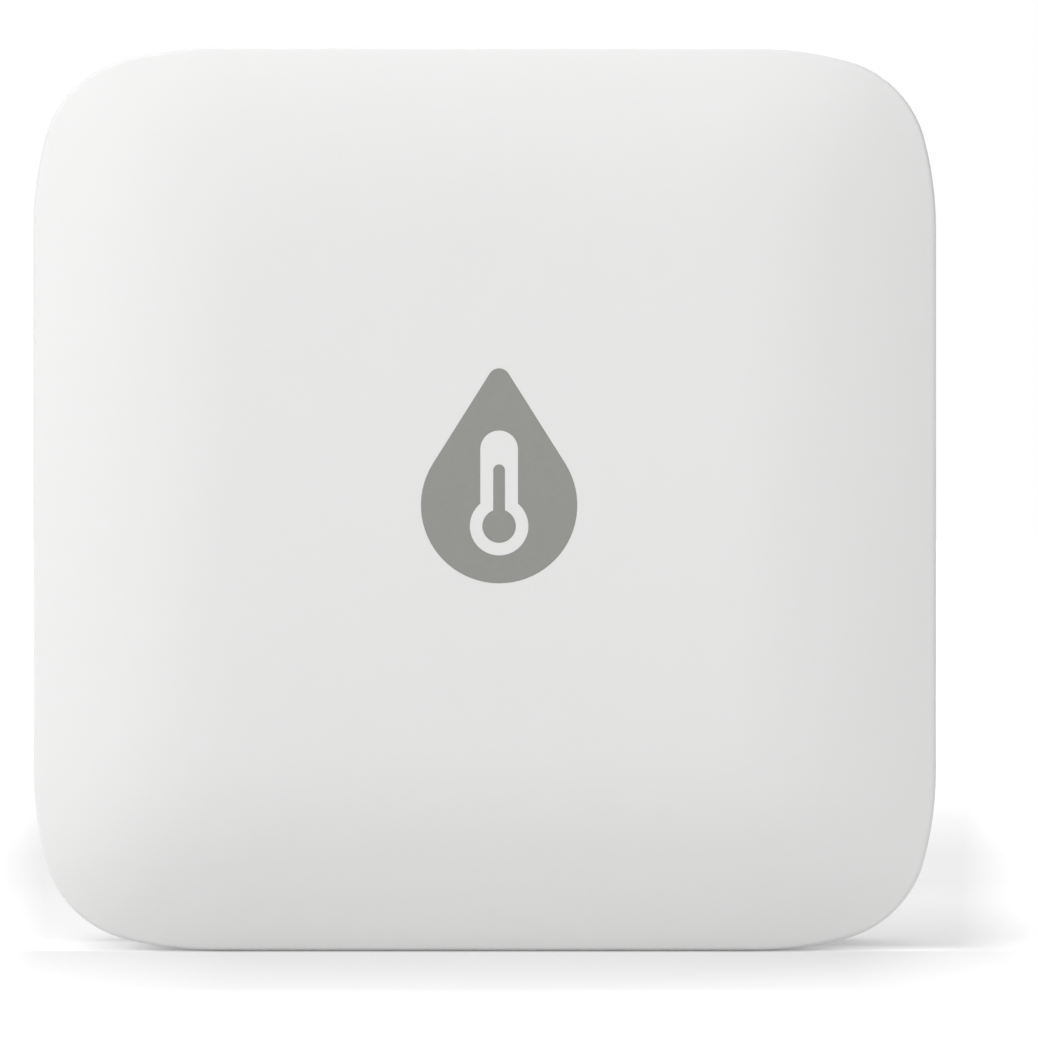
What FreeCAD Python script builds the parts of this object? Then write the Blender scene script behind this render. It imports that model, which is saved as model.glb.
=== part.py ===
import FreeCAD, Part
import math
import os
import re

import Sketcher

Vector = FreeCAD.Vector

# The sensor stands on its bottom edge: +X to the right, +Z up, its crowned face towards -Y.
# The origin is under the middle of the body. All lengths are in millimetres.

# Driving sizes
SIZES = {
    # Body
    "wall": 2.0,
    "rear_depth": 11.5,
    "seam_gap": 0.3,
    "corner_run": 13.0,
    "corner_tight": 7.92,
    "corner_ease": 15.0,
    "plateau_side": 36.0,
    "plateau_run": 4.8,
    "plateau_tight": 2.92,
    "crown_drop": 3.2,
    "rim_radius": 0.5,
    "back_edge_radius": 2.5,
    # Lip between the two shells
    "lip_wall": 1.0,
    "lip_height": 1.6,
    "lip_gap": 0.1,
    "lip_end_gap": 0.2,
    # Case screws with their pillars and bosses
    "screw_inset": 8.5,
    "screw_radius": 1.0,
    "screw_length": 10.0,
    "screw_head_radius": 2.1,
    "screw_head_height": 1.4,
    "screw_well": 7.5,
    "screw_well_gap": 0.2,
    "screw_hole_gap": 0.2,
    "pilot_gap": 0.05,
    "pilot_spare": 1.0,
    "pillar_wall": 0.9,
    "pillar_drop": 0.45,
    "boss_radius": 2.8,
    "boss_gap": 0.1,
    # Circuit board and its screws
    "board_thickness": 1.0,
    "board_gap": 0.6,
    "board_notch_gap": 0.7,
    "post_radius": 2.4,
    "post_spread": 14.0,
    "upper_post_rise": 18.5,
    "lower_post_drop": 24.0,
    "board_screw_radius": 0.9,
    "board_screw_length": 5.0,
    "board_screw_head_radius": 1.8,
    "board_screw_head_height": 1.2,
    # Cells and their bay
    "cell_radius": 5.25,
    "cell_length": 44.5,
    "cell_nub_radius": 1.9,
    "cell_nub_height": 1.0,
    "cell_shoulder": 0.6,
    "cell_spacing": 0.6,
    "cell_side_gap": 0.35,
    "cell_floor_gap": 0.3,
    "sleeve_thickness": 0.15,
    "sleeve_gap": 0.02,
    "sleeve_margin": 0.8,
    "bay_wall": 1.0,
    "hinge_clear": 0.65,
    # Battery contacts
    "plate_thickness": 0.4,
    "plate_reach": 4.2,
    "plate_foot_gap": 0.4,
    "dimple_radius": 2.2,
    "dimple_height": 0.7,
    "contact_gap": 0.05,
    "tail_width": 3.0,
    "tail_slot_gap": 0.3,
    "spring_length": 5.9,
    "spring_wire": 0.5,
    "spring_base_radius": 3.6,
    "spring_tip_radius": 2.3,
    "spring_bend": 0.7,
    "spring_turns": 2.5,
    # Battery door
    "door_thickness": 1.5,
    "door_sink": 0.1,
    "door_seat_gap": 0.1,
    "door_gap": 0.2,
    "door_ledge": 1.2,
    "door_top_ledge": 1.6,
    "door_corner": 1.2,
    "barrel_radius": 1.1,
    "barrel_gap": 0.25,
    "hinge_pin_radius": 0.6,
    "hinge_pin_length": 1.4,
    "hinge_pin_gap": 0.05,
    "hinge_pin_end_gap": 0.3,
    "hinge_beam_depth": 1.6,
    "hinge_beam_side": 0.8,
    "latch_width": 9.0,
    "latch_length": 7.0,
    "latch_slot": 0.8,
    "nose_width": 7.0,
    "nose_height": 0.8,
    "nose_thickness": 0.8,
    "nose_gap": 0.3,
    "grip_radius": 3.2,
    "grip_depth": 0.6,
    "grip_width": 6.4,
    "pad_thickness": 0.55,
    "pad_gap": 0.3,
    "pad_width": 12.0,
    "pad_height": 14.0,
    # Keyhole for a wall screw
    "keyhole_radius": 4.0,
    "keyhole_slot_radius": 2.1,
    "keyhole_rise": 5.5,
    "keyhole_clear": 2.45,
    "shroud_gap": 0.4,
    "shroud_wall": 1.0,
    "shroud_depth": 3.4,
    # Vents and the humidity sensor behind them
    "vent_width": 1.2,
    "vent_length": 6.0,
    "vent_pitch": 2.6,
    "vent_count": 7,
    "vent_setback": 1.45,
    "vent_rise": 5.5,
    "chamber_width": 3.5,
    "chamber_margin": 1.0,
    "chamber_rib": 1.0,
    "gasket_thickness": 0.45,
    "gasket_width": 1.1,
    "gasket_setback": 0.2,
    "sensor_side": 2.0,
    "sensor_height": 0.8,
    "sensor_window_radius": 0.5,
    "island_half_height": 2.8,
    "island_slot": 0.8,
    "island_length": 5.4,
    # Pairing button and its switch
    "button_length": 9.0,
    "button_width": 3.6,
    "button_setback": 4.2,
    "button_gap": 0.2,
    "button_travel": 0.4,
    "flange_thickness": 1.4,
    "flange_margin": 0.8,
    "flange_gap": 0.1,
    "plunger_length": 2.6,
    "plunger_thickness": 1.2,
    "plunger_gap": 0.2,
    "plunger_reach": 0.5,
    "button_clear": 1.0,
    "switch_clearance": 0.9,
    "switch_length": 6.4,
    "switch_height": 3.6,
    "switch_thickness": 2.8,
    # Light pipe and status lamp
    "pipe_radius": 1.0,
    "pipe_offset": 10.0,
    "pipe_bend": 2.6,
    "pipe_drop": 7.4,
    "pipe_gap": 0.05,
    "collar_radius": 1.7,
    "collar_height": 1.0,
    "lamp_length": 2.8,
    "lamp_width": 1.6,
    "lamp_height": 1.2,
    "lamp_gap": 0.3,
    # Radio module
    "module_width": 18.0,
    "module_length": 25.5,
    "module_thickness": 0.8,
    "module_rise": 10.0,
    "shield_width": 15.8,
    "shield_length": 17.6,
    "shield_height": 2.3,
    "shield_margin": 1.0,
    "shield_round": 0.4,
    "shield_clear": 2.2,
    # Larger parts on the rear of the board
    "capacitor_radius": 3.15,
    "capacitor_height": 7.7,
    "capacitor_side": 19.5,
    "inductor_side": 6.0,
    "inductor_height": 3.0,
    "inductor_offset": 19.0,
    "component_rise": 8.85,
    "capacitor_base": 1.4,
    "capacitor_groove": 0.35,
    # Chips on the rear of the board
    "controller_offset": -6.0,
    "controller_rise": 8.85,
    "controller_width": 7.0,
    "controller_length": 7.0,
    "controller_height": 0.9,
    "memory_offset": 8.0,
    "memory_rise": 9.85,
    "memory_width": 5.2,
    "memory_length": 4.0,
    "memory_height": 1.6,
    "regulator_offset": 13.0,
    "regulator_rise": 3.95,
    "regulator_width": 2.9,
    "regulator_length": 1.6,
    "regulator_height": 1.1,
    "chip_part_count": 8,
    "chip_part_pitch": 2.6,
    "chip_part_length": 1.6,
    "chip_part_width": 0.8,
    "chip_part_height": 0.6,
    "chip_row_rise": 3.75,
}

# Lengths and places that follow from the driving sizes. Names that end in _y are levels along Y,
# and names that end in _z are heights. The depth is the stack of what lies between face and back.
# The body is as wide as the cells and the sensor's chamber need, and at least as high as the bay,
# the keyhole and the button need.
WORKED_OUT = {
    "depth": "front_stack + board_thickness + gasket_thickness + rear_stack",
    "front_stack": "wall + shield_clear + shield_height + module_thickness",
    "rear_stack": "bay_wall + cell_floor_gap + 2 * cell_radius + pad_gap + pad_thickness + door_thickness + door_sink",
    "side": "max(width_need; height_need)",
    "width_need": "2 * (bay_outer + chamber_width + wall)",
    "height_need": "shroud_top_z + button_clear + flange_thickness + flange_gap + wall",
    "middle_z": "side / 2",
    "ease_sin": "sin(corner_ease)",
    "ease_cos": "cos(corner_ease)",
    "face_y": "-depth / 2",
    "rim_y": "face_y + crown_drop",
    "back_y": "depth / 2",
    "inner_back_y": "back_y - wall",
    "seam_y": "back_y - rear_depth",
    "front_seam_y": "seam_y - seam_gap / 2",
    "rear_seam_y": "seam_y + seam_gap / 2",
    "inner_half": "side / 2 - wall",
    "lip_end_y": "rear_seam_y - lip_height",
    "screw_offset": "side / 2 - screw_inset",
    "screw_seat_y": "back_y - screw_well",
    "pillar_radius": "screw_head_radius + screw_well_gap + pillar_wall",
    "pillar_end_y": "rear_seam_y - pillar_drop",
    "boss_end_y": "pillar_end_y - boss_gap",
    "board_rear_y": "back_y - rear_stack - gasket_thickness",
    "board_front_y": "board_rear_y - board_thickness",
    "board_half": "inner_half - board_gap",
    "upper_post_z": "middle_z + upper_post_rise",
    "lower_post_z": "middle_z - lower_post_drop",
    "bay_front_y": "board_rear_y + gasket_thickness",
    "bay_floor_y": "bay_front_y + bay_wall",
    "cell_y": "bay_floor_y + cell_floor_gap + cell_radius",
    "bay_bottom_z": "screw_inset + pillar_radius + hinge_clear + hinge_beam_side + 2 * (barrel_radius + barrel_gap)",
    "lower_cell_z": "bay_bottom_z + cell_side_gap + cell_radius",
    "upper_cell_z": "lower_cell_z + 2 * cell_radius + cell_spacing",
    "bay_top_z": "upper_cell_z + cell_radius + cell_side_gap",
    "bay_middle_z": "(lower_cell_z + upper_cell_z) / 2",
    "bay_half": "(cell_length + spring_length + dimple_height) / 2 + plate_thickness + contact_gap",
    "bay_outer": "bay_half + bay_wall",
    "plate_face": "bay_half - plate_thickness",
    "cell_tip": "plate_face - dimple_height - contact_gap",
    "cell_tail": "cell_tip - cell_length",
    "door_back_y": "back_y - door_sink",
    "door_front_y": "door_back_y - door_thickness",
    "recess_y": "door_front_y - door_seat_gap",
    "recess_half": "bay_half + door_ledge",
    "door_half": "recess_half - door_gap",
    "hinge_y": "door_back_y - barrel_radius",
    "hinge_z": "bay_bottom_z - barrel_radius - barrel_gap",
    "recess_bottom_z": "hinge_z - barrel_radius - barrel_gap",
    "recess_top_z": "bay_top_z + door_top_ledge",
    "door_top_z": "recess_top_z - door_gap",
    "hinge_pin_end": "door_half + hinge_pin_length",
    "keyhole_z": "bay_top_z + bay_wall + keyhole_clear + shroud_wall + shroud_half",
    "shroud_half": "keyhole_radius + shroud_gap",
    "shroud_top_z": "keyhole_z + keyhole_rise + shroud_half + shroud_wall",
    "shroud_floor_y": "inner_back_y - shroud_depth",
    "vent_front_y": "rear_seam_y + vent_setback",
    "vent_half_span": "vent_pitch * (vent_count - 1) / 2 + vent_width / 2",
    "chamber_half": "vent_half_span + chamber_margin",
    "vent_middle_z": "bay_middle_z + vent_rise",
    "sensor_x": "-(bay_outer + board_half) / 2",
    "button_y": "rear_seam_y + button_setback",
    "button_top_z": "side",
    "flange_top_z": "side - wall - flange_gap",
    "flange_bottom_z": "flange_top_z - flange_thickness",
    "switch_top_z": "flange_bottom_z - switch_clearance",
    "plunger_y": "board_rear_y + switch_thickness / 2",
    "plunger_bottom_z": "switch_top_z - plunger_reach",
    "lamp_z": "side - pipe_drop",
    "module_low_z": "middle_z + module_rise - module_length / 2",
    "component_z": "bay_top_z + component_rise",
}

XY = "XY_Plane"
XZ = "XZ_Plane"
YZ = "YZ_Plane"

document = FreeCAD.newDocument("humidity_sensor")


def make_sheet():
    """Put each driving size in a cell of its own, under its own name."""
    sheet = document.addObject("Spreadsheet::Sheet", "Sizes")
    for row, (name, value) in enumerate(SIZES.items(), start=1):
        sheet.set(f"A{row}", name)
        sheet.set(f"B{row}", str(value))
        sheet.setAlias(f"B{row}", name)
    document.recompute()
    return sheet


sheet = make_sheet()


def formula(text):
    """Turn size names into cells of the sheet."""
    def cell(match):
        name = match.group()
        if name in WORKED_OUT:
            return f"({formula(WORKED_OUT[name])})"
        if name in SIZES:
            return f"Sizes.{name}"
        return name
    return re.sub(r"[a-z][a-z_]*", cell, text)


def number(text):
    """The present value of a formula of size names."""
    return float(sheet.evalExpression(formula(text)))


def new_body(label):
    body = document.addObject("PartDesign::Body", label)
    body.Label = label
    return body


def new_sketch(body, name, plane, level, across="0", up="0"):
    """Attach a sketch to one of the body's planes, moved to a level and, in the plane, to a new origin."""
    support = [item for item in body.Origin.OriginFeatures if item.Role == plane][0]
    sketch = body.newObject("Sketcher::SketchObject", name)
    sketch.AttachmentSupport = [(support, "")]
    sketch.MapMode = "FlatFace"
    outward = f"-({level})" if plane == XZ else level
    for axis, place in zip("xyz", (across, up, outward)):
        sketch.setExpression(f".AttachmentOffset.Base.{axis}", formula(place))
    return sketch


def bind(sketch, kind, *geometry, size):
    """Add a dimension that follows the sheet."""
    index = sketch.addConstraint(Sketcher.Constraint(kind, *geometry, number(size)))
    sketch.setExpression(f"Constraints[{index}]", formula(size))


def place_point(sketch, line, end, across, up):
    bind(sketch, "DistanceX", -1, 1, line, end, size=across)
    bind(sketch, "DistanceY", -1, 1, line, end, size=up)


def polygon(sketch, corners):
    """A closed outline of straight lines with each corner placed by two formulas."""
    points = [Vector(number(across), number(up), 0) for across, up in corners]
    following = points[1:] + points[:1]
    lines = [sketch.addGeometry(Part.LineSegment(a, b), False) for a, b in zip(points, following)]
    for line, after in zip(lines, lines[1:] + lines[:1]):
        sketch.addConstraint(Sketcher.Constraint("Coincident", line, 2, after, 1))
    for line, (across, up) in zip(lines, corners):
        place_point(sketch, line, 1, across, up)


def rectangle(sketch, left, low, right, high):
    polygon(sketch, [(left, low), (right, low), (right, high), (left, high)])


def circle(sketch, across, up, radius):
    centre = Vector(number(across), number(up), 0)
    ring = sketch.addGeometry(Part.Circle(centre, Vector(0, 0, 1), number(radius)), False)
    place_point(sketch, ring, 3, across, up)
    bind(sketch, "Radius", ring, size=radius)


def circles(sketch, places, radius):
    for across, up in places:
        circle(sketch, across, up, radius)


def slot(sketch, first, last, radius):
    """A round-ended slot between two centres that share a height or a side."""
    ends = [Vector(number(across), number(up), 0) for across, up in (first, last)]
    along = ends[1] - ends[0]
    turn = math.atan2(along.y, along.x)
    reach = number(radius)
    arcs = []
    for centre, start in zip(ends, (turn + math.pi / 2, turn - math.pi / 2)):
        ring = Part.Circle(centre, Vector(0, 0, 1), reach)
        arcs.append(sketch.addGeometry(Part.ArcOfCircle(ring, start, start + math.pi), False))
    for arc, other in (arcs, arcs[::-1]):
        a = sketch.getPoint(arc, 2)
        b = sketch.getPoint(other, 1)
        side = sketch.addGeometry(Part.LineSegment(a, b), False)
        sketch.addConstraint(Sketcher.Constraint("Tangent", arc, 2, side, 1))
        sketch.addConstraint(Sketcher.Constraint("Tangent", side, 2, other, 1))
    sketch.addConstraint(Sketcher.Constraint("Equal", *arcs))
    place_point(sketch, arcs[0], 3, *first)
    bind(sketch, "Radius", arcs[0], size=radius)
    if abs(along.x) > abs(along.y):
        bind(sketch, "DistanceX", -1, 1, arcs[1], 3, size=last[0])
        return
    bind(sketch, "DistanceY", -1, 1, arcs[1], 3, size=last[1])


def squircle(sketch, half, run, tight):
    """A square of half-side half whose corners are soft and each take up run of both sides.

    A corner is an arc of radius tight between two wide arcs that each turn by corner_ease.
    """
    wide = f"(({run}) - ({tight}) * (ease_cos - ease_sin)) / (1 + ease_sin - ease_cos)"
    straight = f"({half}) - ({run})"
    low = f"{straight} + {wide} * ease_sin"
    high = f"({half}) - {wide} * (1 - ease_cos)"
    joints = ((half, straight), (high, low), (low, high), (straight, half))
    ease = math.radians(number("corner_ease"))
    far = number(half) - number(wide)
    near = number(high) - number(tight) * math.cos(ease)
    pieces = ((far, number(straight), wide, 0, ease),
              (near, near, tight, ease, math.pi / 2 - ease),
              (number(straight), far, wide, math.pi / 2 - ease, math.pi / 2))
    corners = []
    for quarter in range(4):
        turned = FreeCAD.Rotation(Vector(0, 0, 1), 90 * quarter)
        arcs = []
        for across, up, radius, first, last in pieces:
            ring = Part.Circle(turned.multVec(Vector(across, up, 0)), Vector(0, 0, 1), number(radius))
            angles = (first + quarter * math.pi / 2, last + quarter * math.pi / 2)
            arcs.append(sketch.addGeometry(Part.ArcOfCircle(ring, *angles), False))
        corners.append(arcs)
    for arcs, after in zip(corners, corners[1:] + corners[:1]):
        ends = sketch.getPoint(arcs[2], 2), sketch.getPoint(after[0], 1)
        line = sketch.addGeometry(Part.LineSegment(*ends), False)
        sketch.addConstraint(Sketcher.Constraint("Coincident", arcs[0], 2, arcs[1], 1))
        sketch.addConstraint(Sketcher.Constraint("Coincident", arcs[1], 2, arcs[2], 1))
        sketch.addConstraint(Sketcher.Constraint("Coincident", arcs[2], 2, line, 1))
        sketch.addConstraint(Sketcher.Constraint("Coincident", line, 2, after[0], 1))
    ends = [((arcs[0], 1), (arcs[1], 1), (arcs[2], 1), (arcs[2], 2)) for arcs in corners]
    for (arc, end), (across, up) in zip(ends[0], joints):
        place_point(sketch, arc, end, across, up)
    for first, second, axis in ((0, 1, -2), (0, 3, -1), (1, 2, -1)):
        for one, other in zip(ends[first], reversed(ends[second])):
            sketch.addConstraint(Sketcher.Constraint("Symmetric", *one, *other, axis))
    bind(sketch, "Radius", corners[0][0], size=wide)
    bind(sketch, "Radius", corners[0][1], size=tight)
    for arcs in corners:
        for arc, like in ((arcs[0], corners[0][0]), (arcs[1], corners[0][1]), (arcs[2], corners[0][0])):
            if arc != like:
                sketch.addConstraint(Sketcher.Constraint("Equal", arc, like))


def layer(kind, body, name, plane, low, high, draw, where, up="0"):
    """Pad or pocket an outline from level low to level high along the plane's axis."""
    from_low = (plane == XZ) == (kind == "PartDesign::Pocket")
    sketch = new_sketch(body, name + "_outline", plane, low if from_low else high, up=up)
    draw(sketch, *where)
    feature = body.newObject(kind, name)
    feature.Profile = sketch
    feature.setExpression("Length", formula(f"({high}) - ({low})"))
    return feature


def add(body, name, plane, low, high, draw, *where, up="0"):
    return layer("PartDesign::Pad", body, name, plane, low, high, draw, where, up)


def cut(body, name, plane, low, high, draw, *where, up="0"):
    return layer("PartDesign::Pocket", body, name, plane, low, high, draw, where, up)


def turn(body, name, plane, level, corners, axis, across="0", up="0"):
    """Revolve an outline about one axis of its sketch."""
    sketch = new_sketch(body, name + "_outline", plane, level, across, up)
    polygon(sketch, corners)
    feature = body.newObject("PartDesign::Revolution", name)
    feature.Profile = sketch
    feature.ReferenceAxis = (sketch, [axis])
    feature.Angle = 360
    return feature


def dress(kind, body, name, size, wanted):
    """Round or bevel those edges of the body so far that the test wanted picks."""
    document.recompute()
    base = body.Tip
    edges = [f"Edge{index}" for index, edge in enumerate(base.Shape.Edges, start=1) if wanted(edge.BoundBox)]
    feature = body.newObject(kind, name)
    feature.Base = (base, edges)
    feature.setExpression("Radius" if kind == "PartDesign::Fillet" else "Size", formula(size))
    return feature


def at_level(low, high, level):
    """Whether an edge's extent from low to high stays at one level."""
    return abs(low - number(level)) < 0.001 and abs(high - number(level)) < 0.001


# Front cover: a crowned shell on a square with soft corners

CORNERS = [(across, up) for across in (1, -1) for up in (1, -1)]


def offset_squircle(sketch, inset):
    squircle(sketch, *[f"{size} - ({inset})" for size in ("side / 2", "corner_run", "corner_tight")])


def crown(body, name, inset, steps, ruled):
    """Loft the crowned face from its flat middle to its rim, inset from the outside by a wall."""
    sections = []
    for step in range(steps + 1):
        share = step / steps
        level = f"face_y + ({inset}) + crown_drop * {share ** 2:g}"
        sketch = new_sketch(body, f"{name}_{step}", XZ, level, up="middle_z")
        sizes = []
        for middle, rim in (("plateau_side / 2", "side / 2"), ("plateau_run", "corner_run"),
                            ("plateau_tight", "corner_tight")):
            sizes.append(f"{middle} * {1 - share:g} + ({rim} - ({inset})) * {share:g}")
        squircle(sketch, *sizes)
        sections.append(sketch)
    loft = body.newObject("PartDesign::AdditiveLoft", name)
    loft.Profile = (sections[0], [""])
    loft.Sections = [(section, [""]) for section in sections[1:]]
    loft.Ruled = ruled


def screw_places():
    """The four case screws, as formulas of their place across and up."""
    return [(f"{across} * screw_offset", f"middle_z + {up} * screw_offset") for across, up in CORNERS]


def post_places():
    """The three posts that carry the board."""
    return [("-post_spread", "upper_post_z"), ("post_spread", "upper_post_z"), ("0", "lower_post_z")]


def make_front_cover():
    outside = new_body("front_outside")
    crown(outside, "crown", "0", 4, False)
    add(outside, "front_wall", XZ, "rim_y", "front_seam_y", offset_squircle, "0", up="middle_z")
    dress("PartDesign::Fillet", outside, "rim", "rim_radius",
          lambda box: at_level(box.YMin, box.YMax, "rim_y"))

    # The core is the hollow of the cover, with the bosses and posts left out of it.
    core = new_body("front_core")
    crown(core, "inner_crown", "wall", 2, True)
    add(core, "hollow", XZ, "rim_y + wall", "front_seam_y", offset_squircle, "wall", up="middle_z")
    add(core, "lip_rebate", XZ, "lip_end_y - lip_end_gap", "front_seam_y", offset_squircle, "lip_wall", up="middle_z")
    cut(core, "bosses", XZ, "face_y", "boss_end_y", circles, screw_places(), "boss_radius")
    cut(core, "posts", XZ, "face_y", "board_front_y", circles, post_places(), "post_radius")
    add(core, "pilot_holes", XZ, "screw_seat_y - screw_length - pilot_spare", "boss_end_y",
        circles, screw_places(), "screw_radius + pilot_gap")
    add(core, "post_holes", XZ, "board_rear_y - board_screw_length - pilot_gap", "board_front_y",
        circles, post_places(), "board_screw_radius + pilot_gap")

    cover = document.addObject("Part::Cut", "front_cover")
    cover.Base = outside
    cover.Tool = core
    return cover


# Rear housing: a tray with the battery bay, screw pillars, keyhole and vents

def make_rear_housing():
    body = new_body("rear_housing")
    add(body, "tray", XZ, "rear_seam_y", "back_y", offset_squircle, "0", up="middle_z")
    dress("PartDesign::Fillet", body, "back_edge", "back_edge_radius",
          lambda box: at_level(box.YMin, box.YMax, "back_y"))
    add(body, "lip", XZ, "lip_end_y", "inner_back_y", offset_squircle, "lip_wall + lip_gap", up="middle_z")
    cut(body, "tray_hollow", XZ, "lip_end_y", "inner_back_y", offset_squircle, "wall", up="middle_z")

    add(body, "bay_walls", XZ, "bay_front_y", "back_y - door_sink", rectangle,
        "-bay_outer", "bay_bottom_z - bay_wall", "bay_outer", "bay_top_z + bay_wall")
    add(body, "hinge_beam", XZ, "inner_back_y - hinge_beam_depth", "inner_back_y + wall / 2", rectangle,
        "-(hinge_pin_end + hinge_pin_end_gap + hinge_beam_side)", "recess_bottom_z - hinge_beam_side",
        "hinge_pin_end + hinge_pin_end_gap + hinge_beam_side", "bay_bottom_z")
    add(body, "keyhole_shroud", XZ, "shroud_floor_y - shroud_wall", "inner_back_y + wall / 2", rectangle,
        "-(shroud_half + shroud_wall)", "keyhole_z - shroud_half - shroud_wall",
        "shroud_half + shroud_wall", "shroud_top_z")
    add(body, "pillars", XZ, "pillar_end_y", "inner_back_y + wall / 2", circles, screw_places(), "pillar_radius")
    for name, sign in (("upper", "+"), ("lower", "-")):
        near = f"vent_middle_z {sign} chamber_half"
        far = f"vent_middle_z {sign} (chamber_half + chamber_rib)"
        low, high = (near, far) if sign == "+" else (far, near)
        add(body, f"{name}_rib", XZ, "bay_front_y", "inner_back_y + wall / 2", rectangle,
            "-(inner_half - lip_gap)", low, "-bay_outer + bay_wall / 2", high)
        add(body, f"{name}_rib_root", XZ, "rear_seam_y", "inner_back_y + wall / 2", rectangle,
            "-(inner_half + lip_gap)", low, "-(inner_half - 2 * lip_gap)", high)

    cut(body, "door_recess", XZ, "recess_y", "back_y", rectangle,
        "-recess_half", "recess_bottom_z", "recess_half", "recess_top_z")
    cut(body, "latch_notch", XZ, "recess_y", "back_y", rectangle,
        "-(nose_width / 2 + nose_gap)", "recess_top_z - door_gap",
        "nose_width / 2 + nose_gap", "door_top_z + nose_height + nose_gap")
    cut(body, "bay", XZ, "bay_floor_y", "back_y", rectangle,
        "-bay_half", "bay_bottom_z", "bay_half", "bay_top_z")
    for name, level in (("negative", "upper_cell_z"), ("positive", "lower_cell_z")):
        cut(body, f"{name}_tail_slot", XZ, "bay_front_y", "bay_floor_y", rectangle,
            "-bay_half", f"{level} - tail_width / 2 - tail_slot_gap",
            "-plate_face + tail_slot_gap", f"{level} + tail_width / 2 + tail_slot_gap")
    cut(body, "hinge_groove", YZ, "-recess_half", "recess_half", circle,
        "hinge_y", "hinge_z", "barrel_radius + barrel_gap")
    cut(body, "hinge_sockets", YZ, "-(hinge_pin_end + hinge_pin_end_gap)", "hinge_pin_end + hinge_pin_end_gap",
        circle, "hinge_y", "hinge_z", "hinge_pin_radius + hinge_pin_gap")

    cut(body, "screw_wells", XZ, "screw_seat_y", "back_y", circles, screw_places(), "screw_head_radius + screw_well_gap")
    cut(body, "screw_holes", XZ, "pillar_end_y", "screw_seat_y", circles, screw_places(), "screw_radius + screw_hole_gap")
    cut(body, "keyhole_pocket", XZ, "shroud_floor_y", "inner_back_y", rectangle,
        "-shroud_half", "keyhole_z - shroud_half", "shroud_half", "keyhole_z + keyhole_rise + shroud_half")
    cut(body, "keyhole_entry", XZ, "shroud_floor_y", "back_y", circle, "0", "keyhole_z", "keyhole_radius")
    cut(body, "keyhole_slot", XZ, "shroud_floor_y", "back_y", slot,
        ("0", "keyhole_z"), ("0", "keyhole_z + keyhole_rise"), "keyhole_slot_radius")

    cut(body, "button_hole", XY, "side - wall - lip_wall", "side", slot,
        ("-(button_length - button_width) / 2", "button_y"), ("(button_length - button_width) / 2", "button_y"),
        "button_width / 2 + button_gap")
    cut(body, "pipe_hole", XY, "side - wall - lip_wall", "side", circle,
        "pipe_offset", "button_y", "pipe_radius + pipe_gap")
    first_vent = "vent_middle_z - vent_pitch * (vent_count - 1) / 2"
    for name, low, high in (("left", "-side / 2", "-inner_half"), ("right", "inner_half", "side / 2")):
        vent = cut(body, f"{name}_vent", YZ, low, high, slot,
                   ("vent_front_y + vent_width / 2", first_vent),
                   ("vent_front_y + vent_length - vent_width / 2", first_vent), "vent_width / 2")
        row = body.newObject("PartDesign::LinearPattern", f"{name}_vents")
        row.Originals = [vent]
        row.Direction = (vent.Profile[0], ["V_Axis"])
        row.setExpression("Length", formula("vent_pitch * (vent_count - 1)"))
        row.setExpression("Occurrences", formula("vent_count"))
        body.Tip = row
    return body


# Battery door with its hinge pins, latch tongue and foam pad

def make_battery_door():
    body = new_body("battery_door")
    add(body, "plate", XZ, "door_front_y", "door_back_y", rectangle,
        "-door_half", "hinge_z", "door_half", "door_top_z")
    dress("PartDesign::Fillet", body, "plate_corners", "door_corner",
          lambda box: at_level(box.ZMin, box.ZMax, "door_top_z") and box.XLength < 0.001)
    add(body, "barrel", YZ, "-door_half", "door_half", circle, "hinge_y", "hinge_z", "barrel_radius")
    add(body, "hinge_pins", YZ, "-hinge_pin_end", "hinge_pin_end", circle, "hinge_y", "hinge_z", "hinge_pin_radius")
    for name, sign in (("left", -1), ("right", 1)):
        edges = [f"{sign} * latch_width / 2", f"{sign} * (latch_width / 2 + latch_slot)"]
        left, right = edges[::sign]
        cut(body, f"{name}_latch_slot", XZ, "door_front_y", "door_back_y", rectangle,
            left, "door_top_z - latch_length", right, "door_top_z")
    add(body, "latch_nose", XZ, "door_front_y", "door_front_y + nose_thickness", rectangle,
        "-nose_width / 2", "door_top_z - door_gap", "nose_width / 2", "door_top_z + nose_height")
    cut(body, "thumb_grip", YZ, "-grip_width / 2", "grip_width / 2", circle,
        "door_back_y + grip_radius - grip_depth", "door_top_z - latch_length / 2", "grip_radius")
    return body


def make_door_pad():
    body = new_body("door_pad")
    add(body, "foam", XZ, "door_front_y - pad_thickness", "door_front_y", rectangle,
        "-pad_width / 2", "bay_middle_z - pad_height / 2", "pad_width / 2", "bay_middle_z + pad_height / 2")
    dress("PartDesign::Fillet", body, "pad_corners", "door_corner",
          lambda box: box.XLength < 0.001 and box.ZLength < 0.001)
    return body


# Pairing button with the switch that it presses

def make_pairing_button():
    body = new_body("pairing_button")
    add(body, "flange", XY, "flange_bottom_z", "flange_top_z", rectangle,
        "-(button_length / 2 + flange_margin)", "plunger_y - plunger_thickness / 2",
        "button_length / 2 + flange_margin", "button_y + button_width / 2 + flange_margin")
    add(body, "cap", XY, "flange_top_z - flange_thickness / 2", "button_top_z", slot,
        ("-(button_length - button_width) / 2", "button_y"), ("(button_length - button_width) / 2", "button_y"),
        "button_width / 2")
    dress("PartDesign::Fillet", body, "cap_edge", "button_gap",
          lambda box: at_level(box.ZMin, box.ZMax, "button_top_z"))
    return body


def make_switch_plunger():
    body = new_body("switch_plunger")
    add(body, "plunger", XY, "plunger_bottom_z", "flange_bottom_z", rectangle,
        "-plunger_length / 2", "plunger_y - plunger_thickness / 2",
        "plunger_length / 2", "plunger_y + plunger_thickness / 2")
    return body


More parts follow.
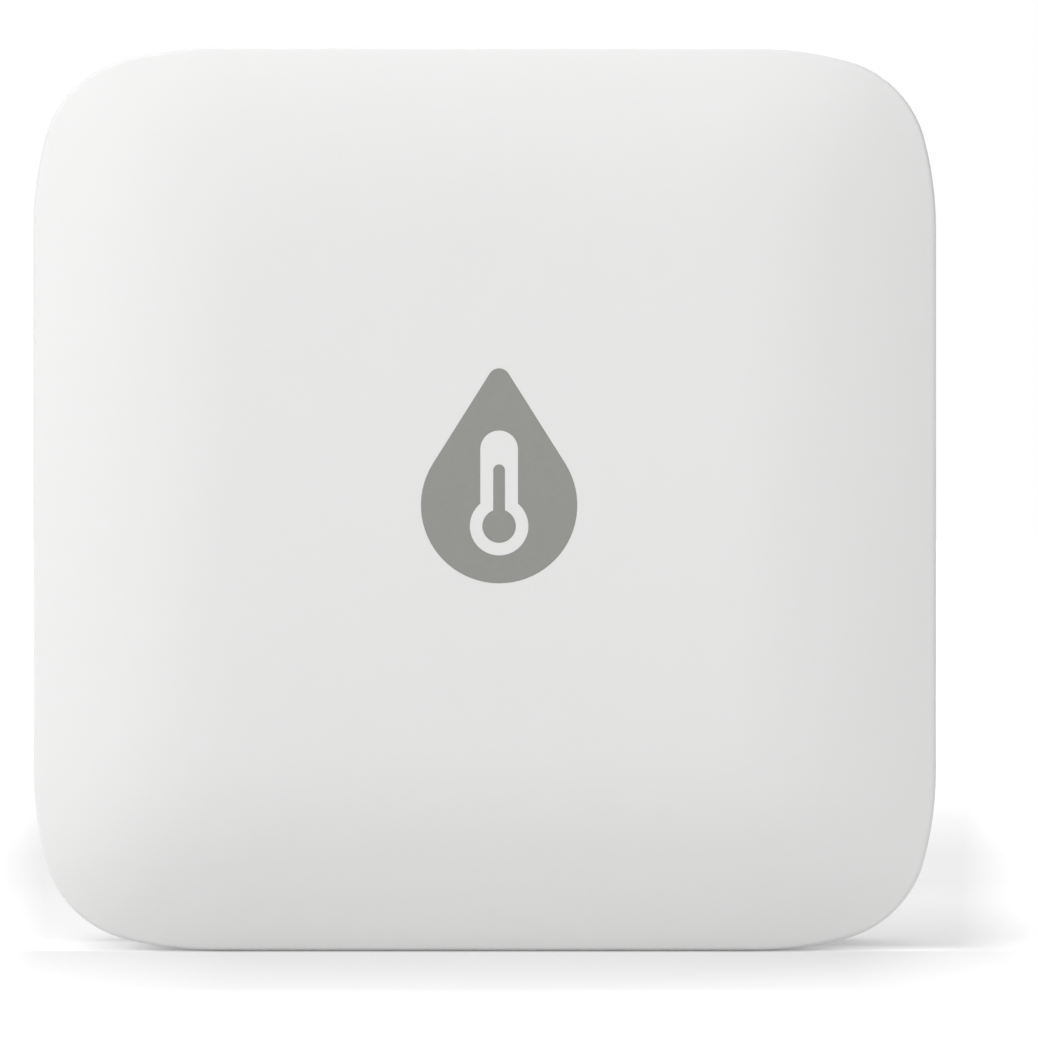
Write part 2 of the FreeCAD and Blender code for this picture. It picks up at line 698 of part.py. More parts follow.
def make_tact_switch():
    body = new_body("tact_switch")
    add(body, "switch_case", XZ, "board_rear_y", "board_rear_y + switch_thickness", rectangle,
        "-switch_length / 2", "switch_top_z - switch_height", "switch_length / 2", "switch_top_z")
    cut(body, "plunger_pocket", XY, "plunger_bottom_z - button_travel - plunger_gap", "switch_top_z", rectangle,
        "-plunger_length / 2 - plunger_gap", "plunger_y - plunger_thickness / 2 - plunger_gap",
        "plunger_length / 2 + plunger_gap", "plunger_y + plunger_thickness / 2 + plunger_gap")
    return body


# Light pipe, bent from the top wall down to the lamp on the board

def make_light_pipe():
    body = new_body("light_pipe")
    profile = new_sketch(body, "pipe_section", XY, "side")
    circle(profile, "pipe_offset", "button_y", "pipe_radius")
    path = new_sketch(body, "pipe_path", YZ, "pipe_offset")
    top = Vector(number("button_y"), number("side"), 0)
    bend = number("pipe_bend")
    low = number("lamp_z")
    lamp_end = Vector(number("board_rear_y + lamp_height + lamp_gap"), low, 0)
    corner = Part.Circle(Vector(top.x - bend, low + bend, 0), Vector(0, 0, 1), bend)
    down = path.addGeometry(Part.LineSegment(top, Vector(top.x, low + bend, 0)), False)
    curve = path.addGeometry(Part.ArcOfCircle(corner, 1.5 * math.pi, 2 * math.pi), False)
    forward = path.addGeometry(Part.LineSegment(Vector(top.x - bend, low, 0), lamp_end), False)
    path.addConstraint(Sketcher.Constraint("Vertical", down))
    path.addConstraint(Sketcher.Constraint("Horizontal", forward))
    path.addConstraint(Sketcher.Constraint("Tangent", down, 2, curve, 2))
    path.addConstraint(Sketcher.Constraint("Tangent", curve, 1, forward, 1))
    place_point(path, down, 1, "button_y", "side")
    bind(path, "Radius", curve, size="pipe_bend")
    place_point(path, forward, 2, "board_rear_y + lamp_height + lamp_gap", "lamp_z")
    pipe = body.newObject("PartDesign::AdditivePipe", "pipe")
    pipe.Profile = (profile, [""])
    pipe.Spine = (path, [""])
    add(body, "collar", XY, "side - wall - collar_height", "side - wall", circle,
        "pipe_offset", "button_y", "collar_radius")
    return body


def make_status_led():
    body = new_body("status_led")
    add(body, "lamp", XZ, "board_rear_y", "board_rear_y + lamp_height", rectangle,
        "pipe_offset - lamp_length / 2", "lamp_z - lamp_width / 2",
        "pipe_offset + lamp_length / 2", "lamp_z + lamp_width / 2")
    return body


# Circuit board and what is soldered to it

def make_circuit_board():
    body = new_body("circuit_board")
    inset = "wall + board_gap"
    add(body, "board", XZ, "board_front_y", "board_rear_y", offset_squircle, inset, up="middle_z")
    near = "screw_offset - boss_radius - board_notch_gap"
    for index, (across, up) in enumerate(CORNERS):
        sides = [f"{across} * ({near})", f"{across} * board_half"][::across]
        levels = [f"middle_z + {up} * ({near})", f"middle_z + {up} * board_half"][::up]
        cut(body, f"corner_notch_{index}", XZ, "board_front_y", "board_rear_y", rectangle,
            sides[0], levels[0], sides[1], levels[1])
    for name, low, high in (
        ("lower", "bay_middle_z - island_half_height - island_slot", "bay_middle_z - island_half_height"),
        ("upper", "bay_middle_z + island_half_height", "bay_middle_z + island_half_height + island_slot"),
    ):
        cut(body, f"{name}_island_slot", XZ, "board_front_y", "board_rear_y", rectangle,
            "-board_half", low, "-board_half + island_length", high)
    cut(body, "board_holes", XZ, "board_front_y", "board_rear_y", circles, post_places(),
        "board_screw_radius + screw_hole_gap")
    return body


def make_humidity_sensor():
    body = new_body("humidity_sensor")
    add(body, "package", XZ, "board_rear_y", "board_rear_y + sensor_height", rectangle,
        "sensor_x - sensor_side / 2", "bay_middle_z - sensor_side / 2",
        "sensor_x + sensor_side / 2", "bay_middle_z + sensor_side / 2")
    cut(body, "window", XZ, "board_rear_y + sensor_height / 2", "board_rear_y + sensor_height", circle,
        "sensor_x", "bay_middle_z", "sensor_window_radius")
    return body


def make_chamber_gasket():
    """A strip of foam in the shape of a C, on the board round the sensor's chamber."""
    body = new_body("chamber_gasket")
    low = "vent_middle_z - chamber_half - chamber_rib"
    high = "vent_middle_z + chamber_half + chamber_rib"
    right = "-(bay_half + gasket_setback)"
    polyline = [("-board_half", low), (right, low), (right, high), ("-board_half", high),
                ("-board_half", f"{high} - gasket_width"), (f"{right} - gasket_width", f"{high} - gasket_width"),
                (f"{right} - gasket_width", f"{low} + gasket_width"), ("-board_half", f"{low} + gasket_width")]
    add(body, "strip", XZ, "board_rear_y", "bay_front_y", polygon, polyline)
    return body


def make_wifi_module_board():
    body = new_body("wifi_module_board")
    add(body, "module", XZ, "board_front_y - module_thickness", "board_front_y", rectangle,
        "-module_width / 2", "module_low_z", "module_width / 2", "module_low_z + module_length")
    return body


def make_wifi_shield():
    body = new_body("wifi_shield")
    face = "board_front_y - module_thickness - shield_height"
    add(body, "can", XZ, face, "board_front_y - module_thickness", rectangle,
        "-shield_width / 2", "module_low_z + shield_margin",
        "shield_width / 2", "module_low_z + shield_margin + shield_length")
    dress("PartDesign::Fillet", body, "can_edges", "shield_round",
          lambda box: at_level(box.YMin, box.YMax, face) or box.XLength + box.ZLength < 0.001)
    return body


def make_bulk_capacitor():
    body = new_body("bulk_capacitor")
    radius = "capacitor_radius"
    foot = "board_rear_y"
    groove = f"{foot} + capacitor_base"
    head = f"{foot} + capacitor_height"
    outline = [("0", foot), (radius, foot), (radius, groove),
               (f"{radius} - capacitor_groove", f"{groove} + capacitor_groove"),
               (radius, f"{groove} + 2 * capacitor_groove"), (radius, f"{head} - capacitor_groove"),
               (f"{radius} - capacitor_groove", head), ("0", head)]
    turn(body, "can", XY, "component_z", outline, "V_Axis", across="-capacitor_side")
    return body


def make_power_inductor():
    body = new_body("power_inductor")
    add(body, "core", XZ, "board_rear_y", "board_rear_y + inductor_height", rectangle,
        "inductor_offset - inductor_side / 2", "component_z - inductor_side / 2",
        "inductor_offset + inductor_side / 2", "component_z + inductor_side / 2")
    dress("PartDesign::Chamfer", body, "core_corners", "inductor_side / 6",
          lambda box: box.XLength + box.ZLength < 0.001)
    return body


CHIPS = ("controller", "memory", "regulator")


def make_board_chips():
    body = new_body("board_chips")
    for chip in CHIPS:
        left = f"{chip}_offset - {chip}_width / 2"
        low = f"bay_top_z + {chip}_rise - {chip}_length / 2"
        add(body, chip, XZ, "board_rear_y", f"board_rear_y + {chip}_height", rectangle,
            left, low, f"{left} + {chip}_width", f"{low} + {chip}_length")
    return body


def make_chip_parts():
    """A row of small resistors and capacitors between the bay and the chips."""
    body = new_body("chip_parts")
    count = round(number("chip_part_count"))
    for index in range(count):
        left = f"{index - (count - 1) / 2} * chip_part_pitch - chip_part_width / 2"
        low = "bay_top_z + chip_row_rise - chip_part_length / 2"
        add(body, f"part_{index}", XZ, "board_rear_y", "board_rear_y + chip_part_height", rectangle,
            left, low, f"{left} + chip_part_width", f"{low} + chip_part_length")
    return body


# Screws, with their heads to the rear

def make_screws(label, places, seat, shank_radius, length, head_radius, head_height):
    body = new_body(label)
    head = f"{seat} + {head_height}"
    outline = [("0", f"{seat} - {length}"), (f"{shank_radius} / 2", f"{seat} - {length}"),
               (shank_radius, f"{seat} - {length} + {shank_radius}"), (shank_radius, seat), (head_radius, seat),
               (head_radius, f"{head} - {head_height} / 3"), (f"{head_radius} * 0.75", head), ("0", head)]
    for index, (across, up) in enumerate(places):
        turn(body, f"screw_{index}", XY, up, outline, "V_Axis", across=across)
    return body


def make_housing_screws():
    return make_screws("housing_screws", screw_places(), "screw_seat_y", "screw_radius", "screw_length",
                       "screw_head_radius", "screw_head_height")


def make_board_screws():
    return make_screws("board_screws", post_places(), "board_rear_y", "board_screw_radius", "board_screw_length",
                       "board_screw_head_radius", "board_screw_head_height")


# Two cells lie one above the other, head to tail; facing is 1 where the nub points to +X

def make_cell(name, level, facing):
    can = new_body(name)
    radius = "cell_radius - sleeve_thickness - sleeve_gap"
    length = "cell_length - cell_nub_height"
    outline = [("0", "0"), ("0", f"{radius} - cell_shoulder"), ("cell_shoulder", radius),
               (f"{length} - cell_shoulder", radius), (length, f"{radius} - cell_shoulder"),
               (length, "cell_nub_radius"), ("cell_length", "cell_nub_radius"), ("cell_length", "0")]
    sleeve = new_body(f"{name}_sleeve")
    ring = [("sleeve_margin", "cell_radius"), (f"{length} - sleeve_margin", "cell_radius"),
            (f"{length} - sleeve_margin", "cell_radius - sleeve_thickness"),
            ("sleeve_margin", "cell_radius - sleeve_thickness")]
    for body, corners in ((can, outline), (sleeve, ring)):
        turned = [(f"{facing} * ({across})", up) for across, up in corners]
        turn(body, body.Label + "_turned", XY, level, turned, "H_Axis",
             across=f"{facing} * cell_tail", up="cell_y")
    return can, sleeve


# Battery contacts: sheet-metal plates on the bay's ends and conical springs

def make_plate(label, side, low, high, dimple=None, tail=None):
    body = new_body(label)
    ends = ["plate_face", "bay_half"] if side > 0 else ["-bay_half", "-plate_face"]
    add(body, "plate", YZ, *ends, rectangle, "bay_floor_y + plate_foot_gap", f"{low} - plate_reach",
        "cell_y + plate_reach", f"{high} + plate_reach")
    if tail:
        add(body, "tail", YZ, *ends, rectangle, "board_rear_y", f"{tail} - tail_width / 2",
            "bay_floor_y + 2 * plate_foot_gap", f"{tail} + tail_width / 2")
    if dimple:
        inner = ["plate_face - dimple_height", "plate_face"]
        inner = inner if side > 0 else ["-plate_face", "-plate_face + dimple_height"]
        add(body, "dimple", YZ, *inner, circle, "cell_y", dimple, "dimple_radius")
        top = inner[0] if side > 0 else inner[1]
        dress("PartDesign::Fillet", body, "dimple_edge", "dimple_height * 0.6",
              lambda box: at_level(box.XMin, box.XMax, top))
    return body


def biarc(start, direction, end, end_direction):
    """Two arcs that leave start and reach end in the given directions and meet smoothly."""
    gap = end - start
    both = direction + end_direction
    square = 2 * (1 - direction.dot(end_direction))
    if square < 1e-9:
        reach = gap.dot(gap) / (4 * gap.dot(end_direction))
    else:
        root = math.sqrt(gap.dot(both) ** 2 + square * gap.dot(gap))
        reach = (root - gap.dot(both)) / square
    meeting = (start + direction * reach + end - end_direction * reach) * 0.5
    arcs = []
    for first, heading, last in ((start, direction, meeting), (end, end_direction * -1, meeting)):
        arcs.append(arc_from(first, heading, last))
    return arcs


def arc_from(start, direction, end):
    """The arc that leaves start in a direction and ends at end."""
    chord = end - start
    sideways = chord - direction * chord.dot(direction)
    if sideways.Length < 1e-7:
        return Part.LineSegment(start, end).toShape()
    sideways.normalize()
    radius = chord.dot(chord) / (2 * chord.dot(sideways))
    centre = start + sideways * radius
    halfway = (start - centre) + (end - centre)
    middle = centre + halfway.normalize() * radius
    return Part.Arc(start, middle, end).toShape()


def spring_path(wire, base_radius, tip_radius, length, turns, bend):
    """A conical spring's centre line along +X, as nodes with their directions.

    It leaves the plate square, runs straight for one wire, bends into its turns and ends the same way.
    """
    low = wire + bend
    rise = length - 2 * low
    halves = round(turns * 2)

    def turn_node(angle):
        share = angle / (turns * 2 * math.pi)
        radius = base_radius + (tip_radius - base_radius) * share
        shrink = (tip_radius - base_radius) / (turns * 2 * math.pi)
        climb = rise / (turns * 2 * math.pi)
        point = Vector(low + rise * share, radius * math.cos(angle), radius * math.sin(angle))
        heading = Vector(climb, shrink * math.cos(angle) - radius * math.sin(angle),
                         shrink * math.sin(angle) + radius * math.cos(angle))
        return point, heading.normalize()

    turns_nodes = [turn_node(math.pi * half) for half in range(halves + 1)]
    outward = Vector(1, 0, 0)
    first, first_heading = turns_nodes[0]
    last, last_heading = turns_nodes[-1]
    foot = first - first_heading * bend - outward * bend
    head = last + last_heading * bend + outward * bend
    foot.x = wire
    head.x = length - wire
    nodes = [(foot, outward)] + turns_nodes + [(head, outward)]
    start = Vector(0, foot.y, foot.z)
    end = Vector(length, head.y, head.z)
    return start, nodes, end


def least_self_gap(points, wire, skip):
    """The least gap between turns: points nearer than skip along the wire don't count."""
    walked = [0.0]
    for a, b in zip(points, points[1:]):
        walked.append(walked[-1] + (b - a).Length)
    least = math.inf
    for i, a in enumerate(points):
        for j in range(i + 1, len(points)):
            if walked[j] - walked[i] > skip:
                least = min(least, (points[j] - a).Length - wire)
    return least


def make_spring(label, level, facing):
    """A spring from its plate towards the cell's flat end; facing is the cell's."""
    wire = number("spring_wire")
    length = number("spring_length")
    start, nodes, end = spring_path(
        wire, number("spring_base_radius"), number("spring_tip_radius"), length,
        number("spring_turns"), number("spring_bend"))
    edges = [Part.LineSegment(start, nodes[0][0]).toShape()]
    for (here, heading), (there, next_heading) in zip(nodes, nodes[1:]):
        edges.extend(biarc(here, heading, there, next_heading))
    edges.append(Part.LineSegment(nodes[-1][0], end).toShape())
    path = Part.Wire(Part.__sortEdges__(edges))
    profile = Part.Wire(Part.Circle(start, Vector(1, 0, 0), wire / 2).toShape())
    shape = path.makePipeShell([profile], True, False)
    print(label, "gap between turns", round(least_self_gap(path.discretize(600), wire, 4 * wire), 3), "mm")
    spring = document.addObject("Part::Feature", label)
    spring.Label = label
    spring.Shape = shape
    about_z = FreeCAD.Rotation(Vector(0, 0, 1), 0 if facing > 0 else 180)
    place = Vector(-facing * number("plate_face"), number("cell_y"), number(level))
    spring.Placement = FreeCAD.Placement(place, about_z)
    return spring


def make_parts():
    parts = [
        make_front_cover(), make_rear_housing(), make_battery_door(), make_door_pad(),
        make_pairing_button(), make_switch_plunger(), make_tact_switch(), make_light_pipe(), make_status_led(),
        make_circuit_board(), make_humidity_sensor(), make_chamber_gasket(),
        make_wifi_module_board(), make_wifi_shield(), make_bulk_capacitor(), make_power_inductor(),
        make_board_chips(), make_chip_parts(), make_housing_screws(), make_board_screws(),
    ]
    parts.extend(make_cell("upper_cell", "upper_cell_z", 1))
    parts.extend(make_cell("lower_cell", "lower_cell_z", -1))
    parts.append(make_plate("bridge_plate", 1, "lower_cell_z", "upper_cell_z", dimple="upper_cell_z"))
    parts.append(make_plate("negative_plate", -1, "upper_cell_z", "upper_cell_z", tail="upper_cell_z"))
    parts.append(make_plate("positive_plate", -1, "lower_cell_z", "lower_cell_z",
                            dimple="lower_cell_z", tail="lower_cell_z"))
    parts.append(make_spring("negative_spring", "upper_cell_z", 1))
    parts.append(make_spring("bridge_spring", "lower_cell_z", -1))
    return parts


def check(parts):
    """Stop if a feature failed, a shape is unsound, or a pad or pocket changed nothing."""
    for item in document.Objects:
        if "Invalid" in item.State or "Error" in item.State:
            raise RuntimeError(f"{item.Name} failed: {item.State}")
    for item in document.Objects:
        base = getattr(item, "BaseFeature", None)
        if base is None or not item.isDerivedFrom("PartDesign::FeatureSketchBased"):
            continue
        gain = item.Shape.Volume - base.Shape.Volume
        if item.isDerivedFrom("PartDesign::Pocket"):
            gain = -gain
        if gain < 1e-4:
            raise RuntimeError(f"{item.Name} changed nothing")
    for part in parts:
        if part.Shape.isNull() or not part.Shape.isValid():
            raise RuntimeError(f"{part.Label} has no sound shape")


def write(parts):
    os.makedirs("parts", exist_ok=True)
    for part in parts:
        part.Shape.exportStep(f"parts/{part.Label}.step")


made = make_parts()
document.recompute()
check(made)
write(made)
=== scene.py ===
import bmesh
import bpy
import math
from mathutils import Matrix, Vector, noise


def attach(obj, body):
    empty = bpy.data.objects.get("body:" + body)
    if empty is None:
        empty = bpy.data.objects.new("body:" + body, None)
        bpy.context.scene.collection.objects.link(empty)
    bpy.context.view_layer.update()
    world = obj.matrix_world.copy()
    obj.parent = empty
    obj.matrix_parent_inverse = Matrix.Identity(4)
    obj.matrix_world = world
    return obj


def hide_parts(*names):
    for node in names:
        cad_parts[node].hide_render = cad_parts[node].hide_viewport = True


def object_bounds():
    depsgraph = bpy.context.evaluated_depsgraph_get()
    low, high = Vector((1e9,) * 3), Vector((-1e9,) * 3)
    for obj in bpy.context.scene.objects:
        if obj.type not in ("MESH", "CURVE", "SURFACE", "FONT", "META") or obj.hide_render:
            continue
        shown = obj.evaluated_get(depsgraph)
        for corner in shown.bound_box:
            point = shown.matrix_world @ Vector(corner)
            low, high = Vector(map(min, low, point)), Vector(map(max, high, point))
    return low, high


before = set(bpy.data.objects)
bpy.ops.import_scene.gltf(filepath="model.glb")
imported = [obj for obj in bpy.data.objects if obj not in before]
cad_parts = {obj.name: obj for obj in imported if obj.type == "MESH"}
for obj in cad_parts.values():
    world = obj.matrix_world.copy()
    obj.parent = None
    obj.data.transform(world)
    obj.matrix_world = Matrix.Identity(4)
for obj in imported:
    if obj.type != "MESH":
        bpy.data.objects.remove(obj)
cad_box = [list(corner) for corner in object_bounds()]

# Table, camera and lamps
# The sensor stands on its lower edge on a seamless white table and is seen straight from the front; round its foot
# the table's shade is partly real and partly painted.
# A large soft lamp stands at the upper left and smaller ones high up, at the right, above and behind.

MM = 0.001
middle_z = (cad_box[0][2] + cad_box[1][2]) / 2
body_side = cad_box[1][0] - cad_box[0][0]
face_edge = cad_box[0][1]
foot_edge = -8.3 * MM
foot_end = 22.5 * MM
camera_distance = 0.6
side_in_picture = 0.8698


class Wire:
    """An output of a shader node that takes part in sums."""

    def __init__(self, finish, socket):
        self.finish = finish
        self.socket = socket

    def __add__(self, other):
        return self.finish.sum_of("ADD", self, other)

    def __radd__(self, other):
        return self.finish.sum_of("ADD", other, self)

    def __sub__(self, other):
        return self.finish.sum_of("SUBTRACT", self, other)

    def __rsub__(self, other):
        return self.finish.sum_of("SUBTRACT", other, self)

    def __mul__(self, other):
        return self.finish.sum_of("MULTIPLY", self, other)

    def __rmul__(self, other):
        return self.finish.sum_of("MULTIPLY", other, self)

    def __abs__(self):
        return self.finish.sum_of("ABSOLUTE", self)

    def __gt__(self, other):
        return self.finish.sum_of("GREATER_THAN", self, other)

    def __lt__(self, other):
        return self.finish.sum_of("LESS_THAN", self, other)


class Finish:
    """A material, made of nodes."""

    def __init__(self, name):
        self.material = bpy.data.materials.new(name)
        self.material.use_nodes = True
        self.tree = self.material.node_tree
        self.tree.nodes.clear()
        self.output = self.tree.nodes.new("ShaderNodeOutputMaterial")

    def node(self, kind, settings, inputs, output=0):
        """A node of a kind: its settings first, then the values or links of its sockets."""
        made = self.tree.nodes.new(kind)
        for name, value in settings.items():
            setattr(made, name, value)
        for name, value in inputs.items():
            if isinstance(value, Wire):
                self.tree.links.new(value.socket, made.inputs[name])
            else:
                made.inputs[name].default_value = value
        return Wire(self, made.outputs[output])

    def sum_of(self, operation, *values):
        return self.node("ShaderNodeMath", {"operation": operation}, dict(enumerate(values)))

    def between(self, value, low, high):
        return self.sum_of("MINIMUM", self.sum_of("MAXIMUM", value, low), high)

    def place(self):
        return self.node("ShaderNodeTexCoord", {}, {}, "Object")

    def parts(self, place):
        """The three coordinates of a place."""
        apart = self.node("ShaderNodeSeparateXYZ", {}, {"Vector": place})
        return [Wire(self, socket) for socket in apart.socket.node.outputs]

    def noise(self, grain, detail=2.0, place=None):
        """Cloudy noise whose features measure about grain, in metres."""
        where = place or self.place()
        return self.node("ShaderNodeTexNoise", {}, {"Vector": where, "Scale": 1 / grain, "Detail": detail}, "Fac")

    def mix(self, share, first, second):
        colours = [value if isinstance(value, Wire) else (*value, 1) for value in (first, second)]
        return self.node("ShaderNodeMix", {"data_type": "RGBA"}, {0: share, 6: colours[0], 7: colours[1]}, 2)

    def bump(self, height, depth, under=None):
        inputs = {"Height": height, "Strength": 1.0, "Distance": depth}
        if under:
            inputs["Normal"] = under
        return self.node("ShaderNodeBump", {}, inputs)

    def surface(self, **inputs):
        named = {name.replace("_", " "): value for name, value in inputs.items()}
        named = {name: (*value, 1) if isinstance(value, tuple) else value for name, value in named.items()}
        self.end(self.node("ShaderNodeBsdfPrincipled", {}, named))
        return self

    def end(self, shader):
        self.tree.links.new(shader.socket, self.output.inputs["Surface"])


def seen_by_lens(finish):
    """Whether a ray comes from the lens or from gloss or glass."""
    path = finish.node("ShaderNodeLightPath", {}, {})
    rays = [Wire(finish, path.socket.node.outputs[name])
            for name in ("Is Camera Ray", "Is Glossy Ray", "Is Transmission Ray")]
    return finish.sum_of("MAXIMUM", rays[0], finish.sum_of("MAXIMUM", rays[1], rays[2]))


def painted_table_shade(finish):
    """What the table adds for the lens on top of its real lit shading: painted shade round the foot, running out
    into white on every side.
    """
    between = finish.between
    place = finish.place()
    across, along = finish.parts(place)[:2]
    away = finish.node("ShaderNodeVectorMath", {"operation": "LENGTH"}, {0: place}, "Value")

    # Before the face the painted shade lightens forwards and beyond both ends of the foot.
    ahead = between(face_edge - along, 0.0, 1.0)
    ends = between(abs(across - 0.004) - 0.021, 0.0, 0.02) * 9.0
    corners = between(abs(across - 0.0025) - 0.034, 0.0, 0.01) * 25.0
    front = 0.275 + ahead * 4.0 + ends + between(ahead - 0.042, 0.0, 0.02) * 9.0 + corners

    # Behind the face the painted shade deepens backwards, and turns white beyond the sides and far away.
    aside = finish.sum_of("MAXIMUM", across, across * -1.08)
    sides = between(aside - 0.0345 - between(along, 0.0, 1.0) * 0.06, 0.0, 0.01) * 35.0
    back = 0.40 - between(along, 0.0, 0.1) * 1.1 + sides + between(away - 0.16, 0.0, 0.5)
    glow = back + between(along * -100.0 - 0.2, 0.0, 1.0) * (front - back)

    # Painted light under the round corners, and a painted contact shadow, a dark line under the foot.
    beyond = abs(across)
    outside = between((beyond - foot_end) * 285.0, 0.0, 1.0) - between((beyond - 0.030) * 160.0, 0.0, 1.0)
    start = 0.008 - between(across * 0.35, 0.0, 0.0084)
    reach = between((start - along) * 170.0, 0.0, 1.0) - between((foot_edge + 0.0009 - along) * 500.0, 0.0, 1.0)
    line = between((0.0018 - abs(along - (foot_edge - 0.0006))) * 1200.0, 0.0, 1.0)
    under = between((foot_end + 0.002 - beyond) * 180.0, 0.0, 1.0) * line
    return glow + outside * reach * 0.22 - under * 0.3


def make_table():
    finish = Finish("white_table_painted_shade")
    grain = finish.noise(0.03)
    seen_colour = finish.mix(grain, (0.49, 0.49, 0.49), (0.51, 0.51, 0.51))
    seen = finish.node("ShaderNodeBsdfDiffuse", {}, {"Color": seen_colour})
    # The emission is painted shade: grey and a painted contact shadow round the foot, white farther off. The
    # diffuse part keeps the lamps' real shadows.
    painted_shading = finish.node("ShaderNodeEmission", {}, {"Color": painted_table_shade(finish), "Strength": 1.0})
    both = finish.node("ShaderNodeAddShader", {}, {0: seen, 1: painted_shading})
    thrown_colour = finish.mix(grain, (0.73, 0.73, 0.73), (0.77, 0.77, 0.77))
    thrown = finish.node("ShaderNodeBsdfDiffuse", {}, {"Color": thrown_colour})
    finish.end(finish.node("ShaderNodeMixShader", {}, {0: seen_by_lens(finish), 1: thrown, 2: both}))
    mesh = bpy.data.meshes.new("table")
    level = cad_box[0][2]
    reach = 6.0
    corners = [(across * reach, along * reach, level) for across, along in ((-1, -1), (1, -1), (1, 1), (-1, 1))]
    mesh.from_pydata(corners, [], [(0, 1, 2, 3)])
    mesh.materials.append(finish.material)
    table = bpy.data.objects.new("table", mesh)
    bpy.context.scene.collection.objects.link(table)


def make_lamp(name, place, side, power):
    """A square soft lamp that faces the middle of the sensor."""
    data = bpy.data.lights.new(name, "AREA")
    data.shape = "SQUARE"
    data.size = side
    data.energy = power
    lamp = bpy.data.objects.new(name, data)
    lamp.location = place
    aim = Vector((0, 0, middle_z)) - Vector(place)
    lamp.rotation_euler = aim.to_track_quat("-Z", "Y").to_euler()
    bpy.context.scene.collection.objects.link(lamp)


def make_surroundings(strength):
    """Even light from all around, in front of a white backdrop."""
    world = bpy.data.worlds.new("studio")
    world.use_nodes = True
    tree = world.node_tree
    tree.nodes.clear()
    path = tree.nodes.new("ShaderNodeLightPath")
    mixed = tree.nodes.new("ShaderNodeMixShader")
    output = tree.nodes.new("ShaderNodeOutputWorld")
    tree.links.new(path.outputs["Is Camera Ray"], mixed.inputs[0])
    for index, level in ((1, strength), (2, 1)):
        shade = tree.nodes.new("ShaderNodeBackground")
        shade.inputs["Color"].default_value = (level, level, level, 1)
        tree.links.new(shade.outputs[0], mixed.inputs[index])
    tree.links.new(mixed.outputs[0], output.inputs[0])
    bpy.context.scene.world = world


camera = bpy.data.objects.new("camera", bpy.data.cameras.new("camera"))
camera.data.sensor_width = 36
camera.data.lens = camera.data.sensor_width * camera_distance / (body_side / side_in_picture)
camera.data.shift_x = 0.0329
camera.data.shift_y = -0.019
camera.location = (0, foot_edge - camera_distance, middle_z)
camera.rotation_euler = (math.pi / 2, 0, 0)
bpy.context.scene.collection.objects.link(camera)
bpy.context.scene.camera = camera
bpy.context.scene.view_settings.view_transform = "Standard"

make_table()
make_lamp("lamp_left", (-0.8, -0.6, 0.6), 1.2, 8.44)
make_lamp("lamp_right", (0.75, -0.45, 0.35), 0.5, 1.35)
make_lamp("lamp_high", (-0.2, -0.4, 1.0), 0.7, 4.38)
make_lamp("lamp_above", (-0.2, 0.6, 0.9), 0.9, 2.5)
make_lamp("lamp_behind", (0.25, 0.9, 0.55), 0.6, 5.2)
make_surroundings(0.2)


# Front cover
# The moulded shell: a square with soft corners whose face is flat in the middle and rolls off to the rim.
# It is ABS with a fine matt grain, and carries four screw bosses and three board posts inside.

face_y = -11.49
crown_drop = 3.19
rim = (32.5, 13.0, 7.92)
plateau = (18.0, 4.8, 2.92)
wall = 2.0
rim_radius = 0.5
seam_y = -0.15
lip = 1.0
lip_foot = -1.65
screw_reach = 24
post_places = ((-14, 51), (14, 51), (0, 8.5))


def moulded(name, colour, roughness, grain=0.00016, depth=0.0000035):
    """Injection moulded plastic with the fine grain of an eroded mould."""
    finish = Finish(name)
    place = finish.place()
    fine = finish.noise(grain, 3.0, place)
    broad = finish.noise(0.02, 1.0, place)
    darker = tuple(value * 0.985 for value in colour)
    edge = finish.node("ShaderNodeBevel", {"samples": 4}, {"Radius": 0.00012})
    return finish.surface(
        Base_Color=finish.mix(broad, darker, colour), IOR=1.5,
        Roughness=roughness + (fine - 0.5) * 0.12 + (broad - 0.5) * 0.05, Normal=finish.bump(fine, depth, edge))


def outline(half, run, tight, level):
    """A square with soft corners of three arcs each, as a ring of points round the middle of the body."""
    wide_steps = 6
    tight_steps = 20
    straight_steps = 14
    ease = math.radians(15)
    sine = math.sin(ease)
    cosine = math.cos(ease)
    wide = (run - tight * (cosine - sine)) / (1 + sine - cosine)
    near = half - wide * (1 - cosine) - tight * cosine
    arcs = ((half - wide, half - run, wide, 0, ease, wide_steps),
            (near, near, tight, ease, math.pi / 2 - ease, tight_steps),
            (half - run, half - wide, wide, math.pi / 2 - ease, math.pi / 2, wide_steps))
    ring = []
    for quarter in range(4):
        turned = Matrix.Rotation(quarter * math.pi / 2, 2)
        for across, up, radius, first, last, steps in arcs:
            for step in range(steps):
                angle = first + (last - first) * step / steps
                ring.append(turned @ Vector((across + radius * math.cos(angle), up + radius * math.sin(angle))))
        for step in range(straight_steps):
            across = (half - run) * (1 - 2 * step / straight_steps)
            ring.append(turned @ Vector((across, half)))
    return [Vector((point.x, level, middle_z / MM + point.y)) for point in ring]


def blend_sizes(first, second, share):
    return [a + (b - a) * share for a, b in zip(first, second)]


def smooth(bm, angle=30):
    """Shade the faces smooth, apart from edges that turn by more than an angle."""
    for face in bm.faces:
        face.smooth = True
    for edge in bm.edges:
        edge.smooth = len(edge.link_faces) == 2 and edge.calc_face_angle() < math.radians(angle)


def mesh_of(bm, scale=MM, angle=30):
    """Bring a mesh from millimetres to metres, with its faces outwards."""
    bmesh.ops.remove_doubles(bm, verts=bm.verts, dist=1e-7 / scale)
    bmesh.ops.recalc_face_normals(bm, faces=bm.faces)
    bmesh.ops.scale(bm, vec=(scale, scale, scale), verts=bm.verts)
    smooth(bm, angle)
    mesh = bpy.data.meshes.new("piece")
    bm.to_mesh(mesh)
    bm.free()
    return mesh


